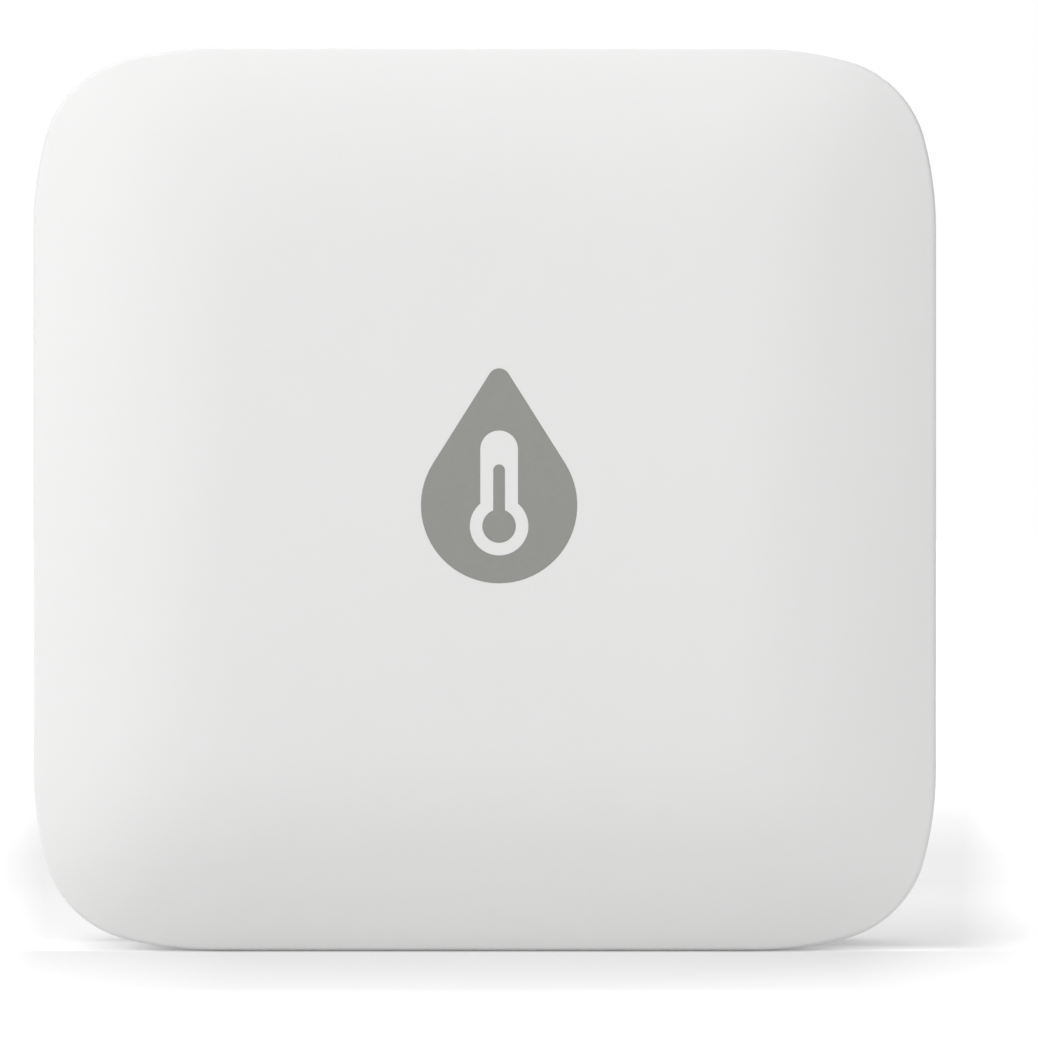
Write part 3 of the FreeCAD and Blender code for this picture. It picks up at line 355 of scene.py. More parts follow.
def rings_to_faces(bm, rings, closed=False, capped=False):
    """Join rings of points with quads. An end that is one point gets a fan, and a capped end one face."""
    rows = [[bm.verts.new(point) for point in ring] for ring in rings]
    pairs = list(zip(rows, rows[1:]))
    if closed:
        pairs.append((rows[-1], rows[0]))
    for row, after in pairs:
        count = max(len(row), len(after))
        for index in range(count):
            corners = [row[index % len(row)], row[(index + 1) % len(row)],
                       after[(index + 1) % len(after)], after[index % len(after)]]
            bm.faces.new(list(dict.fromkeys(corners)))
    if capped:
        bm.faces.new(rows[0])
        bm.faces.new(rows[-1])
    return rows


def loose_object(name, mesh):
    made = bpy.data.objects.new(name, mesh)
    bpy.context.scene.collection.objects.link(made)
    return made


def add_piece(name, mesh, finish, slot, *nodes, body="housing"):
    """Put a finished mesh on its body, in place of the CAD nodes that it stands for."""
    piece = loose_object(name, mesh)
    mesh.name = name
    mesh.materials.clear()
    mesh.materials.append(finish.material)
    if nodes:
        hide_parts(*nodes)
    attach(piece, body)
    return piece


def final_mesh(piece):
    """The mesh of a piece as its modifiers leave it; the piece itself is removed."""
    bpy.context.view_layer.update()
    result = bpy.data.meshes.new_from_object(piece.evaluated_get(bpy.context.evaluated_depsgraph_get()))
    piece.modifiers.clear()
    bpy.data.objects.remove(piece)
    return result


def combined(mesh, other, operation="DIFFERENCE"):
    """A mesh with another cut out of it, or joined to it."""
    piece = loose_object("piece", mesh)
    tool = loose_object("tool", other)
    boolean = piece.modifiers.new("boolean", "BOOLEAN")
    boolean.operation = operation
    boolean.solver = "EXACT"
    boolean.object = tool
    result = final_mesh(piece)
    bpy.data.objects.remove(tool)
    return result


def lathe(bm, centre, axis, profile, steps):
    """Turn a profile of (distance along the axis, radius) round an axis through a centre, as a closed body."""
    profile = list(profile)
    if profile[0][1] and profile[-1][1]:
        profile += profile[:1] if profile[0] != profile[-1] else []
    elif profile[0][1]:
        profile.insert(0, (profile[0][0], 0))
    elif profile[-1][1]:
        profile.append((profile[-1][0], 0))
    axis = Vector(axis).normalized()
    side = axis.orthogonal().normalized()
    other = axis.cross(side)
    angles = [2 * math.pi * step / steps for step in range(steps)]
    rings = []
    for along, radius in profile:
        middle = Vector(centre) + axis * along
        ring = [middle + (side * math.cos(angle) + other * math.sin(angle)) * radius for angle in angles]
        rings.append(ring if radius else [middle])
    rings_to_faces(bm, rings)


def geometry_tree(name, sizes):
    """An empty geometry tree with named sizes, its first and last nodes and the way to add one."""
    tree = bpy.data.node_groups.new(name, "GeometryNodeTree")
    tree.interface.new_socket("Geometry", in_out="INPUT", socket_type="NodeSocketGeometry")
    tree.interface.new_socket("Geometry", in_out="OUTPUT", socket_type="NodeSocketGeometry")
    for label, kind in sizes:
        tree.interface.new_socket(label, in_out="INPUT", socket_type=kind)
    first = tree.nodes.new("NodeGroupInput")
    last = tree.nodes.new("NodeGroupOutput")

    def add(kind, settings, inputs):
        made = tree.nodes.new(kind)
        for key, value in settings.items():
            setattr(made, key, value)
        for key, value in inputs.items():
            if isinstance(value, bpy.types.NodeSocket):
                tree.links.new(value, made.inputs[key])
            else:
                made.inputs[key].default_value = value
        return made

    return tree, first, last, add


def run_tree(mesh, tree, sizes):
    """Run a geometry tree on a mesh and return the plain result."""
    source = loose_object("source", mesh)
    modifier = source.modifiers.new("tree", "NODES")
    modifier.node_group = tree
    for item in tree.interface.items_tree:
        if item.in_out == "INPUT" and item.name in sizes:
            modifier[item.identifier] = sizes[item.name]
    return final_mesh(source)


def finished(tree, add, geometry, last, material):
    """End a tree: copies made real, and the material set."""
    plain = add("GeometryNodeRealizeInstances", {}, {0: geometry})
    dressed = add("GeometryNodeSetMaterial", {}, {"Geometry": plain.outputs[0], "Material": material})
    tree.links.new(dressed.outputs[0], last.inputs[0])
    return tree


def crown_tree(material):
    """Points between the flat middle and the rim take their place from the rule of the crown."""
    sizes = [("Face level", "NodeSocketFloat"), ("Drop", "NodeSocketFloat")]
    tree, first, last, add = geometry_tree("crown", sizes)
    read = {"flat": "FLOAT_VECTOR", "rim": "FLOAT_VECTOR", "share": "FLOAT"}
    flat, edge, share = [add("GeometryNodeInputNamedAttribute", {"data_type": kind}, {"Name": key}).outputs[0]
                         for key, kind in read.items()]
    place = add("ShaderNodeMix", {"data_type": "VECTOR"}, {0: share, 4: flat, 5: edge})
    square = add("ShaderNodeMath", {"operation": "MULTIPLY"}, {0: share, 1: share})
    sunk = add("ShaderNodeMath", {"operation": "MULTIPLY_ADD"},
               {0: square.outputs[0], 1: first.outputs["Drop"], 2: first.outputs["Face level"]})
    apart = add("ShaderNodeSeparateXYZ", {}, {0: place.outputs[1]})
    moved = add("ShaderNodeCombineXYZ", {}, {0: apart.outputs[0], 1: sunk.outputs[0], 2: apart.outputs[2]})
    chosen = add("FunctionNodeCompare", {"operation": "GREATER_EQUAL"}, {0: share, 1: 0.0})
    placed = add("GeometryNodeSetPosition", {}, {
        "Geometry": first.outputs["Geometry"], "Selection": chosen.outputs[0], "Position": moved.outputs[0]})
    return finished(tree, add, placed.outputs[0], last, material)


def make_cover_shell(finish):
    """The shell as rings of points, from the middle of the face round the edge to the middle of the inside."""
    flat_rings = 9
    crown_rings = 44
    edge_rings = 8
    inner_rings = 12
    inner_flat_rings = 5
    slope = math.atan2(2 * crown_drop, rim[0] - plateau[0])
    cut_back = rim_radius * math.tan((math.pi / 2 - slope) / 2)
    last_share = 1 - cut_back * math.cos(slope) / (rim[0] - plateau[0])
    rim_y = face_y + crown_drop
    side_y = rim_y + cut_back

    def flat(part, level):
        return outline(*[size * part for size in plateau], level)

    rings = [[Vector((0, face_y, middle_z / MM))]]
    rings += [flat(step / flat_rings, face_y) for step in range(1, flat_rings)]
    shares = [-1] * len(rings)
    for step in range(crown_rings + 1):
        share = last_share * step / crown_rings
        rings.append(outline(*blend_sizes(plateau, rim, share), face_y))
        shares.append(share)
    edge = []
    for step in range(1, edge_rings):
        angle = slope + (math.pi / 2 - slope) * step / edge_rings
        edge.append((rim_radius * (1 - math.sin(angle)), side_y - rim_radius * math.cos(angle)))
    edge += [(0, side_y), (0, rim_y + 2.5), (0, -2.5), (0, seam_y - 0.12), (0.04, seam_y - 0.03), (0.12, seam_y),
             (lip - 0.08, seam_y), (lip, seam_y - 0.08), (lip, lip_foot), (wall, lip_foot), (wall, -4.0),
             (wall, rim_y + wall)]
    rings += [outline(*[size - distance for size in rim], level) for distance, level in edge]
    inner_rim = [size - wall for size in rim]
    for step in range(1, inner_rings + 1):
        share = 1 - step / inner_rings
        rings.append(outline(*blend_sizes(plateau, inner_rim, share), face_y + wall + crown_drop * share ** 2))
    rings += [flat(1 - step / inner_flat_rings, face_y + wall) for step in range(1, inner_flat_rings)]
    rings.append([Vector((0, face_y + wall, middle_z / MM))])
    shares += [-1] * (len(rings) - len(shares))

    bm = bmesh.new()
    share_of = bm.verts.layers.float.new("share")
    flat_of = bm.verts.layers.float_vector.new("flat")
    rim_of = bm.verts.layers.float_vector.new("rim")
    rows = rings_to_faces(bm, rings)
    flat_ring = outline(*plateau, 0)
    rim_ring = outline(*rim, 0)
    for row, share in zip(rows, shares):
        for index, vertex in enumerate(row):
            vertex[share_of] = share
            vertex[flat_of] = flat_ring[index] * MM
            vertex[rim_of] = rim_ring[index] * MM
    mesh = mesh_of(bm)
    sizes = {"Face level": face_y * MM, "Drop": crown_drop * MM}
    shell = run_tree(mesh, crown_tree(finish.material), sizes)
    for name in ("share", "flat", "rim"):
        shell.attributes.remove(shell.attributes[name])
    return shell


def make_front_cover():
    finish = moulded("shell_white", (0.83, 0.83, 0.825), 0.46)
    bosses = [((across * screw_reach, 0, middle_z / MM + up * screw_reach), -9.3, -7.0, -0.4, 2.8, 1.05)
              for across in (-1, 1) for up in (-1, 1)]
    posts = [((across, 0, up), -9.75, -8.25, -4.2, 2.4, 0.95) for across, up in post_places]
    bm = bmesh.new()
    for centre, root, bottom, top, radius, hole in bosses + posts:
        profile = ((root, 0), (root, radius), (top - 0.15, radius), (top, radius - 0.15), (top, hole + 0.2),
                   (top - 0.2, hole), (bottom, hole), (bottom - 0.3, 0))
        lathe(bm, centre, (0, 1, 0), profile, 40)
    joined = combined(make_cover_shell(finish), mesh_of(bm), "UNION")
    bm = bmesh.new()
    bm.from_mesh(joined)
    bmesh.ops.dissolve_degenerate(bm, dist=1e-6, edges=bm.edges)
    add_piece("front_shell", mesh_of(bm, 1.0), finish, "shell_white", "front_cover")
    return finish


shell_finish = make_front_cover()


# Printed sign
# A pad-printed drop in matt grey ink on the flat of the face, with a thermometer left open in it.
# The film is a few hundredths of a millimetre thick and stands just proud of the plastic.

sign_centre = (1.02, 34.18)
ink_top = -11.5
ink_depth = 0.05


def filled(bm, path, low, high):
    """A flat filled outline between two levels."""
    rings = [[Vector((point.x, level, point.y)) for point in path] for level in (low, high)]
    rings_to_faces(bm, rings, capped=True)


def filled_mesh(path, low, high):
    bm = bmesh.new()
    filled(bm, [Vector(point) for point in path], low, high)
    return mesh_of(bm)


def arc_points(centre, radius, first, last, steps):
    """Points of an arc, with angles in degrees."""
    angles = [math.radians(first + (last - first) * step / steps) for step in range(steps + 1)]
    return [Vector((centre[0] + radius * math.cos(a), centre[1] + radius * math.sin(a))) for a in angles]


def drop_outline(centre, radius, height, tip):
    """A drop: a round belly whose sides run straight to a rounded tip."""
    apex = centre[1] + height - tip
    lean = math.degrees(math.asin((radius - tip) / (apex - centre[1])))
    belly = arc_points(centre, radius, lean, -180 - lean, 48)
    return belly + arc_points((centre[0], apex), tip, 180 - lean, lean, 10)


def glass_outline(centre, bulb, stem, top):
    """A thermometer's glass: a stem with a round top that widens into a bulb."""
    joint = math.degrees(math.asin(stem / bulb))
    around = arc_points(centre, bulb, 90 - joint, -270 + joint, 48)
    low = centre[1] + bulb * math.cos(math.radians(joint))
    left = [Vector((centre[0] - stem, low + (top - low) * step / 8)) for step in range(1, 8)]
    right = [Vector((centre[0] + stem, top - (top - low) * step / 8)) for step in range(1, 8)]
    return around + left + arc_points((centre[0], top), stem, 180, 0, 16) + right


def mercury_outline(centre, bulb, stem, top):
    """The filling of the glass: a smaller bulb with a thin stem."""
    joint = math.degrees(math.asin(stem / bulb))
    low = centre[1] + bulb * math.cos(math.radians(joint))
    left, right = (Vector((centre[0] + side * stem, low)) for side in (-1, 1))
    around = arc_points(centre, bulb, 90 - joint, -270 + joint, 40)
    return around + [left, Vector((left.x, top))] + arc_points((centre[0], top), stem, 180, 0, 10) + [right]


def make_sign():
    finish = Finish("grey_ink")
    place = finish.place()
    patchy = finish.noise(0.0004, 2.0, place)
    finish.surface(Base_Color=finish.mix(patchy, (0.275, 0.275, 0.262), (0.30, 0.30, 0.285)), Roughness=0.55,
                   Normal=finish.bump(finish.noise(0.00016, 2.0, place), 0.000002))
    across, up = sign_centre
    bulb = (across, up - 3.6)
    back = ink_top + ink_depth
    ink = filled_mesh(drop_outline((across, up - 2.1), 5.6, 9.8, 0.8), ink_top, back)
    opening = filled_mesh(glass_outline(bulb, 2.1, 1.35, up + 1.9), ink_top - 0.1, ink_top + 0.2)
    opened = combined(ink, opening)
    bm = bmesh.new()
    bm.from_mesh(opened)
    bmesh.ops.scale(bm, vec=(1 / MM, 1 / MM, 1 / MM), verts=bm.verts)
    filled(bm, mercury_outline(bulb, 1.2, 0.42, up + 0.4), ink_top, back)
    add_piece("face_sign", mesh_of(bm), finish, None)


make_sign()


# Rear housing
# The deep rear shell, moulded in the same plastic: battery bay, screw wells, keyhole, side vents and lip.
# The four case screws pull it onto the front cover; the edge of the back is rounded off.


def carried_over(name, node, finish, slot, angle=28, body="housing", cutter=None):
    """A CAD piece in its own form: its loose facets joined, its curves smooth and its flats flat."""
    bm = bmesh.new()
    bm.from_mesh(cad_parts[node].data)
    bmesh.ops.remove_doubles(bm, verts=bm.verts, dist=2e-6)
    mesh = bpy.data.meshes.new(name)
    if cutter:
        bm.to_mesh(mesh)
        mesh = combined(mesh, cutter)
        bm.clear()
        bm.from_mesh(mesh)
    smooth(bm, angle)
    bm.to_mesh(mesh)
    bm.free()
    piece = add_piece(name, mesh, finish, slot, node, body=body)
    evened = piece.modifiers.new("evened", "WEIGHTED_NORMAL")
    evened.keep_sharp = True
    evened.weight = 80
    return piece


carried_over("rear_shell", "rear_housing", shell_finish, "shell_white")


# Battery door
# A thin moulded door in the same plastic that swings on two moulded pins and latches at the top.
# Three ribs in the thumb hollow give grip, and a sunk arrowhead above the hinge shows the way to pull.

door_back = 11.4
grip_up = 36.05


def form_tree(name, material):
    """Copies of a form at the points of a mesh, each turned and sized as its point says."""
    tree, first, last, add = geometry_tree(name, [("Form", "NodeSocketObject"), ("Size", "NodeSocketFloat")])
    form = add("GeometryNodeObjectInfo", {}, {"Object": first.outputs["Form"]})
    turn = add("GeometryNodeInputNamedAttribute", {"data_type": "FLOAT_VECTOR"}, {"Name": "turn"})
    turned = add("FunctionNodeEulerToRotation", {}, {0: turn.outputs[0]})
    copies = add("GeometryNodeInstanceOnPoints", {}, {
        "Points": first.outputs["Geometry"], "Instance": form.outputs["Geometry"], "Rotation": turned.outputs[0],
        "Scale": first.outputs["Size"]})
    return finished(tree, add, copies.outputs[0], last, material)


def add_copies(name, form, places, finish, slot, *nodes, size=1.0, body="housing"):
    """One piece of the copies of a form, given in metres round its own middle.

    A place is in millimetres. Turns in degrees about the three axes may follow it.
    """
    points = bpy.data.meshes.new(name + "_places")
    points.from_pydata([Vector(place[:3]) * MM for place in places], [], [])
    turns = points.attributes.new("turn", "FLOAT_VECTOR", "POINT")
    for index, place in enumerate(places):
        turns.data[index].vector = [math.radians(angle) for angle in place[3:] or (0, 0, 0)]
    model = loose_object(name + "_form", form)
    result = run_tree(points, form_tree(name, finish.material), {"Form": model, "Size": size})
    bpy.data.objects.remove(model)
    if "turn" in result.attributes:
        result.attributes.remove(result.attributes["turn"])
    return add_piece(name, result, finish, slot, *nodes, body=body)


def rounded_box(bm, low, high, radius):
    """A box with rounded edges between two corners."""
    made = bmesh.ops.create_cube(bm, size=1.0)["verts"]
    for vertex in made:
        vertex.co = Vector([(a + b) / 2 + part * (b - a) for a, b, part in zip(low, high, vertex.co)])
    edges = {edge for vertex in made for edge in vertex.link_edges}
    bmesh.ops.bevel(bm, geom=list(edges), offset=radius, segments=3, profile=0.5, affect="EDGES")


def boxes_mesh(radius, *boxes):
    """Rounded boxes as one mesh."""
    bm = bmesh.new()
    for low, high in boxes:
        rounded_box(bm, low, high, radius)
    return mesh_of(bm)


def make_door():
    corners = [(0, 22.6), (3.0, 26.3), (1.5, 26.3), (0, 24.4), (-1.5, 26.3), (-3.0, 26.3)]
    arrow = filled_mesh(corners, door_back - 0.3, door_back + 0.2)
    carried_over("door_panel", "battery_door", shell_finish, "shell_white", body="door", cutter=arrow)
    rib = boxes_mesh(0.12, ((-2.1, -0.25, -0.22), (2.1, 0.25, 0.22)))
    places = [(0, door_back - 0.42, grip_up + 0.95 * step) for step in (-1, 0, 1)]
    add_copies("grip_ribs", rib, places, shell_finish, "shell_white", body="door")


make_door()


# Foam parts
# A pad of open foam glued inside the door keeps the cells from rattling.
# A strip of the same foam closes the sensor's chamber between the board and the bay.


def foam(name):
    """Open foam: a dark ground with paler cell walls."""
    pore = 0.00035
    finish = Finish(name)
    place = finish.place()
    cells = finish.node("ShaderNodeTexVoronoi", {"feature": "DISTANCE_TO_EDGE"},
                        {"Vector": place, "Scale": 1 / pore}, "Distance")
    fine = finish.noise(0.0001, 3.0, place)
    return finish.surface(
        Base_Color=finish.mix(cells * 3.0, (0.065, 0.066, 0.07), (0.14, 0.142, 0.148)), Roughness=0.95,
        Normal=finish.bump(cells * 2.0 + fine * 0.3, 0.00008), Specular_IOR_Level=0.25)


def foam_mesh(low, cell, counts, left_open, rough):
    """Cut foam as a block of small cells, less those left open: soft at its edges and full of small pores."""
    taken = {(i, j, k) for i in range(counts[0]) for j in range(counts[1]) for k in range(counts[2])
             if not left_open(i, k)}
    bm = bmesh.new()
    corners = {}
    for place in taken:
        for axis in range(3):
            for side in (0, 1):
                beside = list(place)
                beside[axis] += 2 * side - 1
                if tuple(beside) in taken:
                    continue
                row = []
                for first, second in ((0, 0), (1, 0), (1, 1), (0, 1)):
                    corner = list(place)
                    corner[axis] += side
                    corner[(axis + 1) % 3] += first
                    corner[(axis + 2) % 3] += second
                    corner = tuple(corner)
                    if corner not in corners:
                        corners[corner] = bm.verts.new([a + b * c for a, b, c in zip(low, cell, corner)])
                    row.append(corners[corner])
                bm.faces.new(row if side else row[::-1])
    for turn in range(2):
        bmesh.ops.smooth_vert(bm, verts=bm.verts, factor=0.5, use_axis_x=True, use_axis_y=True, use_axis_z=True)
    bm.normal_update()
    for vertex in bm.verts:
        dip = noise.noise(vertex.co / 0.45) * 0.5 + noise.noise(vertex.co / 0.2) * 0.5
        vertex.co += vertex.normal * min(dip, 0.0) * rough
    return mesh_of(bm, MM, 80)


def make_foam_parts():
    finish = foam("foam_grey")
    pad = foam_mesh((-6.0, 9.36, 20.0), (0.125, 0.1325, 0.125), (96, 4, 112), lambda i, k: False, 0.1)
    piece = add_piece("door_foam", pad, finish, "foam_grey", "door_pad", body="door")
    strip = foam_mesh((-29.9, -3.19, 22.1), (0.1, 0.108, 0.1), (37, 4, 208),
                      lambda i, k: i < 26 and 11 <= k < 197, 0.06)
    piece = add_piece("chamber_foam", strip, finish, "foam_grey", "chamber_gasket")


make_foam_parts()


# Pairing button and switch
# The button is moulded in the case's plastic and stands flush in the top wall; its flange holds it inside.
# It presses the plunger of a side-acting switch, a black housing under a riveted steel cover.

switch_up = 58.8
switch_back = -0.22


def metal(name, colour, roughness, streak=(1.0, 1.0, 1.0), grain=0.0002):
    """Bare or plated metal with fine streaks or a fine grain."""
    finish = Finish(name)
    place = finish.node("ShaderNodeMapping", {}, {"Vector": finish.place(), "Scale": streak})
    fine = finish.noise(grain, 3.0, place)
    broad = finish.noise(0.004, 2.0)
    darker = tuple(value * 0.86 for value in colour)
    edge = finish.node("ShaderNodeBevel", {"samples": 4}, {"Radius": 0.00006})
    return finish.surface(
        Base_Color=finish.mix(broad, darker, colour), Metallic=1.0,
        Roughness=roughness + (fine - 0.5) * 0.16 + (broad - 0.5) * 0.08, Normal=finish.bump(fine, 0.0000015, edge))


def turned_mesh(profile, steps, centre=(0, 0, 0), axis=(0, 1, 0)):
    """A turned body of its own."""
    bm = bmesh.new()
    lathe(bm, centre, axis, profile, steps)
    return mesh_of(bm)


def make_button_and_switch():
    finish = moulded("button_white", (0.84, 0.84, 0.835), 0.4)
    carried_over("button_cap", "pairing_button", finish, "button_white", body="button")
    black = moulded("switch_black", (0.022, 0.022, 0.024), 0.42, 0.00012, 0.000003)
    carried_over("switch_body", "tact_switch", black, "switch_black")
    carried_over("switch_pin", "switch_plunger", black, "switch_black", body="button")
    plate = ((-3.0, switch_back - 0.23, switch_up - 1.6), (3.0, switch_back, switch_up + 1.6))
    add_piece("switch_cover", boxes_mesh(0.08, plate), plated, "contact_nickel")
    rivet = turned_mesh(((-0.1, 0.34), (0.02, 0.34), (0.1, 0.26), (0.13, 0)), 20)
    places = [(across, switch_back, switch_up + up) for across in (-2.45, 2.45) for up in (-1.05, 1.05)]
    add_copies("switch_rivets", rivet, places, black, "switch_black")
    leg = boxes_mesh(0.04, ((-0.45, -0.06, -0.35), (0.45, 0.06, 0.35)))
    places = [(across, -3.12, switch_up + up) for across in (-3.5, 3.5) for up in (-1.1, 1.1)]
    add_copies("switch_legs", leg, places, plated, "contact_nickel")


plated = metal("nickel_plate", (0.72, 0.70, 0.66), 0.28)
make_button_and_switch()


# Status lamp and its light pipe
# A side-view lamp on the board: a white cup on two gilt ends with a yellow phosphor window.
# A bent frosted polycarbonate pipe leads its light to a dot beside the button.

lamp_across = 10.0
lamp_up = 57.6


def speckled(name, grain, detail, dark, light, roughness, spread, depth, **more):
    """A finish whose colour, roughness and relief follow one cloudy noise."""
    finish = Finish(name)
    speck = finish.noise(grain, detail)
    return finish.surface(Base_Color=finish.mix(speck, dark, light), Roughness=roughness + speck * spread,
                          Normal=finish.bump(speck, depth), **more)


def make_lamp_and_pipe():
    cup = moulded("lamp_white", (0.86, 0.85, 0.80), 0.35, 0.0001, 0.000002)
    box = ((lamp_across - 1.0, -3.15, lamp_up - 0.75), (lamp_across + 1.0, -2.0, lamp_up + 0.75))
    add_piece("lamp_cup", boxes_mesh(0.08, box), cup, "lamp_cream", "status_led")
    window = speckled("lamp_phosphor", 0.00006, 2.0, (0.78, 0.62, 0.12), (0.88, 0.75, 0.22), 0.3, 0.1, 0.000004,
                      Coat_Weight=0.6, Coat_Roughness=0.08)
    dome = turned_mesh(((0, 0.6), (0.1, 0.58), (0.17, 0.4), (0.2, 0)), 32, (lamp_across, -2.12, lamp_up))
    add_piece("lamp_window", dome, window, "lamp_cream")
    ends = [((lamp_across + low, -3.2, lamp_up - 0.65), (lamp_across + low + 0.5, -2.3, lamp_up + 0.65))
            for low in (-1.4, 0.9)]
    add_piece("lamp_ends", boxes_mesh(0.07, *ends), gilt, "contact_nickel")
    clear = speckled("clear_plastic", 0.002, 1.0, (0.86, 0.89, 0.90), (0.92, 0.94, 0.94), 0.22, 0.08, 0.000004,
                     Transmission_Weight=0.45, IOR=1.58)
    carried_over("pipe_clear", "light_pipe", clear, "clear_plastic", 35)


gilt = metal("gilt_copper", (0.83, 0.62, 0.30), 0.25)
make_lamp_and_pipe()


# Circuit board
# Green solder mask over glass cloth, with raised tracks, gilt vias, tinned pads and white printed outlines.
# Three screws hold it on the posts of the front cover; a slotted tongue keeps warmth from the sensor.

board_back = -3.2
board_front = -4.2
controller = (-6.0, 47.0)
memory = (8.0, 48.0)
regulator = (13.0, 42.1)
coil = (19.0, 47.0)
capacitor = (-19.5, 47.0)
small_part_places = [-9.1 + 2.6 * step for step in range(8)]
wide_pitch = 1.27
fine_pitch = 0.8


def solder_mask(name, deep, light):
    """Glossy lacquer over woven glass cloth."""
    finish = Finish(name)
    place = finish.place()
    threads = {"Vector": place, "Scale": 900.0}
    weave = finish.node("ShaderNodeTexMagic", {"turbulence_depth": 1}, threads, "Fac")
    broad = finish.noise(0.006, 2.0, place)
    fine = finish.noise(0.0002, 2.0, place)
    return finish.surface(
        Base_Color=finish.mix(weave * 0.35 + broad * 0.5, deep, light), Roughness=0.32 + fine * 0.12,
        Coat_Weight=0.35, Coat_Roughness=0.15, Normal=finish.bump(weave + fine * 0.4, 0.000004))


def tracks(bm, routes, level, up, width, thickness=0.035):
    """Flat copper lines with mitred bends, drawn on a board's face; a route that ends at its start is a loop."""
    for route in routes:
        points = [Vector(point) for point in route]
        loop = route[0] == route[-1]
        ways = [(after - point).normalized() for point, after in zip(points, points[1:])]
        rings = []
        for index, point in enumerate(points[:len(ways)] if loop else points):
            before = ways[index - 1] if index or loop else ways[0]
            after = ways[min(index, len(ways) - 1)]
            aside = Vector((-before.y - after.y, before.x + after.x))
            aside *= width / aside.length_squared
            near = point + aside
            far = point - aside
            foot = level - 0.01 * up
            top = level + thickness * up
            rings.append([Vector((near.x, foot, near.y)), Vector((far.x, foot, far.y)),
                          Vector((far.x, top, far.y)), Vector((near.x, top, near.y))])
        rings_to_faces(bm, rings, closed=loop, capped=not loop)


def signal_routes():
    """From the controller: four tracks to the sensor's tongue, three to the memory and two to the switch."""
    pins = [controller[1] + fine_pitch * (step - 3) for step in range(4)]
    routes = []
    for step, pin in enumerate(pins):
        out = 13.2 + fine_pitch * step
        lag = 0.331 * step
        end = 25.8 + fine_pitch * step
        routes.append([(-10.0, pin), (-11.4 - lag, pin), (-out, 42.8 + lag), (-out, 36.8 + lag),
                       (-24.2 - lag, end), (-27.2, end)])
    for step, pin in enumerate(pins[:3]):
        leg = memory[0] + wide_pitch * (0.5 - step)
        low = 43.1 + 0.55 * step
        turn = -1.2 + 0.2 * step
        routes.append([(-2.0, pin), (turn, pin), (turn + 1.5 + 0.25 * step, low), (leg - 0.5, low),
                       (leg, low + 0.5), (leg, 45.2)])
    for out in (0, fine_pitch):
        left = controller[0] + out
        up = 58.4 - out
        routes.append([(left - 1.6, 51.0), (left - 1.6, 52.5 - 0.4 * out), (left - 0.2, 53.9 - 0.4 * out),
                       (left - 0.2, up - 1.0), (left + 0.8, up), (-3.7, up)])
    return routes


def drop_routes():
    """One short track under each small part."""
    return [[(across, 41.0), (across, 39.6), (across + 1.1, 38.5), (across + 1.1, 36.2 - step % 3)]
            for step, across in enumerate(small_part_places)]


def supply_routes():
    """Wide tracks from the two battery tails, from the regulator to the coil, and from the memory to the lamp."""
    last_leg = memory[0] + wide_pitch / 2
    return [[(-25.5, 33.0), (-24.0, 34.5), (-24.0, 42.0), (-22.0, 44.0)],
            [(-25.5, 21.0), (-22.3, 17.8), (8.95, 17.8), (13.95, 22.8), (13.95, 40.9)],
            [(regulator[0], 43.2), (regulator[0], 46.2), (13.8, coil[1]), (16.2, coil[1])],
            [(lamp_across, 57.0), (lamp_across, 54.4), (last_leg, 53.035), (last_leg, 50.8)]]


def front_routes():
    """On the board's front, from the radio module: eight tracks down at the left and eight up at the right."""
    routes = []
    for step in range(8):
        pad = 32.67 + wide_pitch * step
        out = -12.0 - 0.5 * step
        routes.append([(-9.2, pad), (out, pad), (out - 3.0, pad - 3.0), (out - 3.0, 20.0)])
    for step in range(8):
        pad = 41.56 - wide_pitch * step
        out = 11.0 + 0.6 * step
        routes.append([(9.2, pad), (out, pad), (out + 2.0, pad + 2.0), (out + 2.0, 48.0)])
    return routes


def make_legend():
    """Printed frames round the larger parts, and corner marks round the controller."""
    white = speckled("legend_white", 0.0003, 2.0, (0.70, 0.71, 0.68), (0.80, 0.81, 0.78), 0.6, 0.1, 0.000004)
    frames = ((*memory, 3.2, 3.4), (*regulator, 2.1, 2.0), (*coil, 3.5, 3.5), (*capacitor, 3.7, 3.7),
              (0, switch_up, 4.3, 2.3))
    around = ((-1, -1), (1, -1), (1, 1), (-1, 1), (-1, -1))
    lines = [[(across + side * wide, up + end * high) for side, end in around] for across, up, wide, high in frames]
    lines += [[(controller[0] + side * wide, controller[1] + end * high)
               for wide, high in ((3.0, 3.9), (3.9, 3.9), (3.9, 3.0))] for side in (-1, 1) for end in (-1, 1)]
    bm = bmesh.new()
    tracks(bm, lines, board_back, 1, 0.16, 0.02)
    add_piece("board_legend", mesh_of(bm), white, "board_green")


def make_circuit_board():
    mask = solder_mask("board_green", (0.012, 0.11, 0.045), (0.02, 0.17, 0.07))
    carried_over("board_panel", "circuit_board", mask, "board_green")
    raised = solder_mask("track_green", (0.02, 0.20, 0.075), (0.035, 0.27, 0.11))
    drops = drop_routes()
    front = front_routes()
    bm = bmesh.new()
    tracks(bm, signal_routes() + drops, board_back, 1, 0.28)
    tracks(bm, supply_routes(), board_back, 1, 0.7)
    tracks(bm, front, board_front, -1, 0.3)
    add_piece("board_tracks", mesh_of(bm), raised, "board_green")
    ring = turned_mesh(((0, 0.17), (0.03, 0.19), (0.04, 0.3), (0, 0.33)), 12)
    vias = [(route[-1][0], board_back, route[-1][1]) for route in drops]
    vias += [(across, board_back, up) for across in (-16, -8, 8, 16) for up in (4.5, 12.5, 60.5)]
    vias += [(route[-1][0], board_front, route[-1][1], 180, 0, 0) for route in front]
    add_copies("board_vias", ring, vias, gilt, "contact_nickel")
    make_legend()


make_circuit_board()


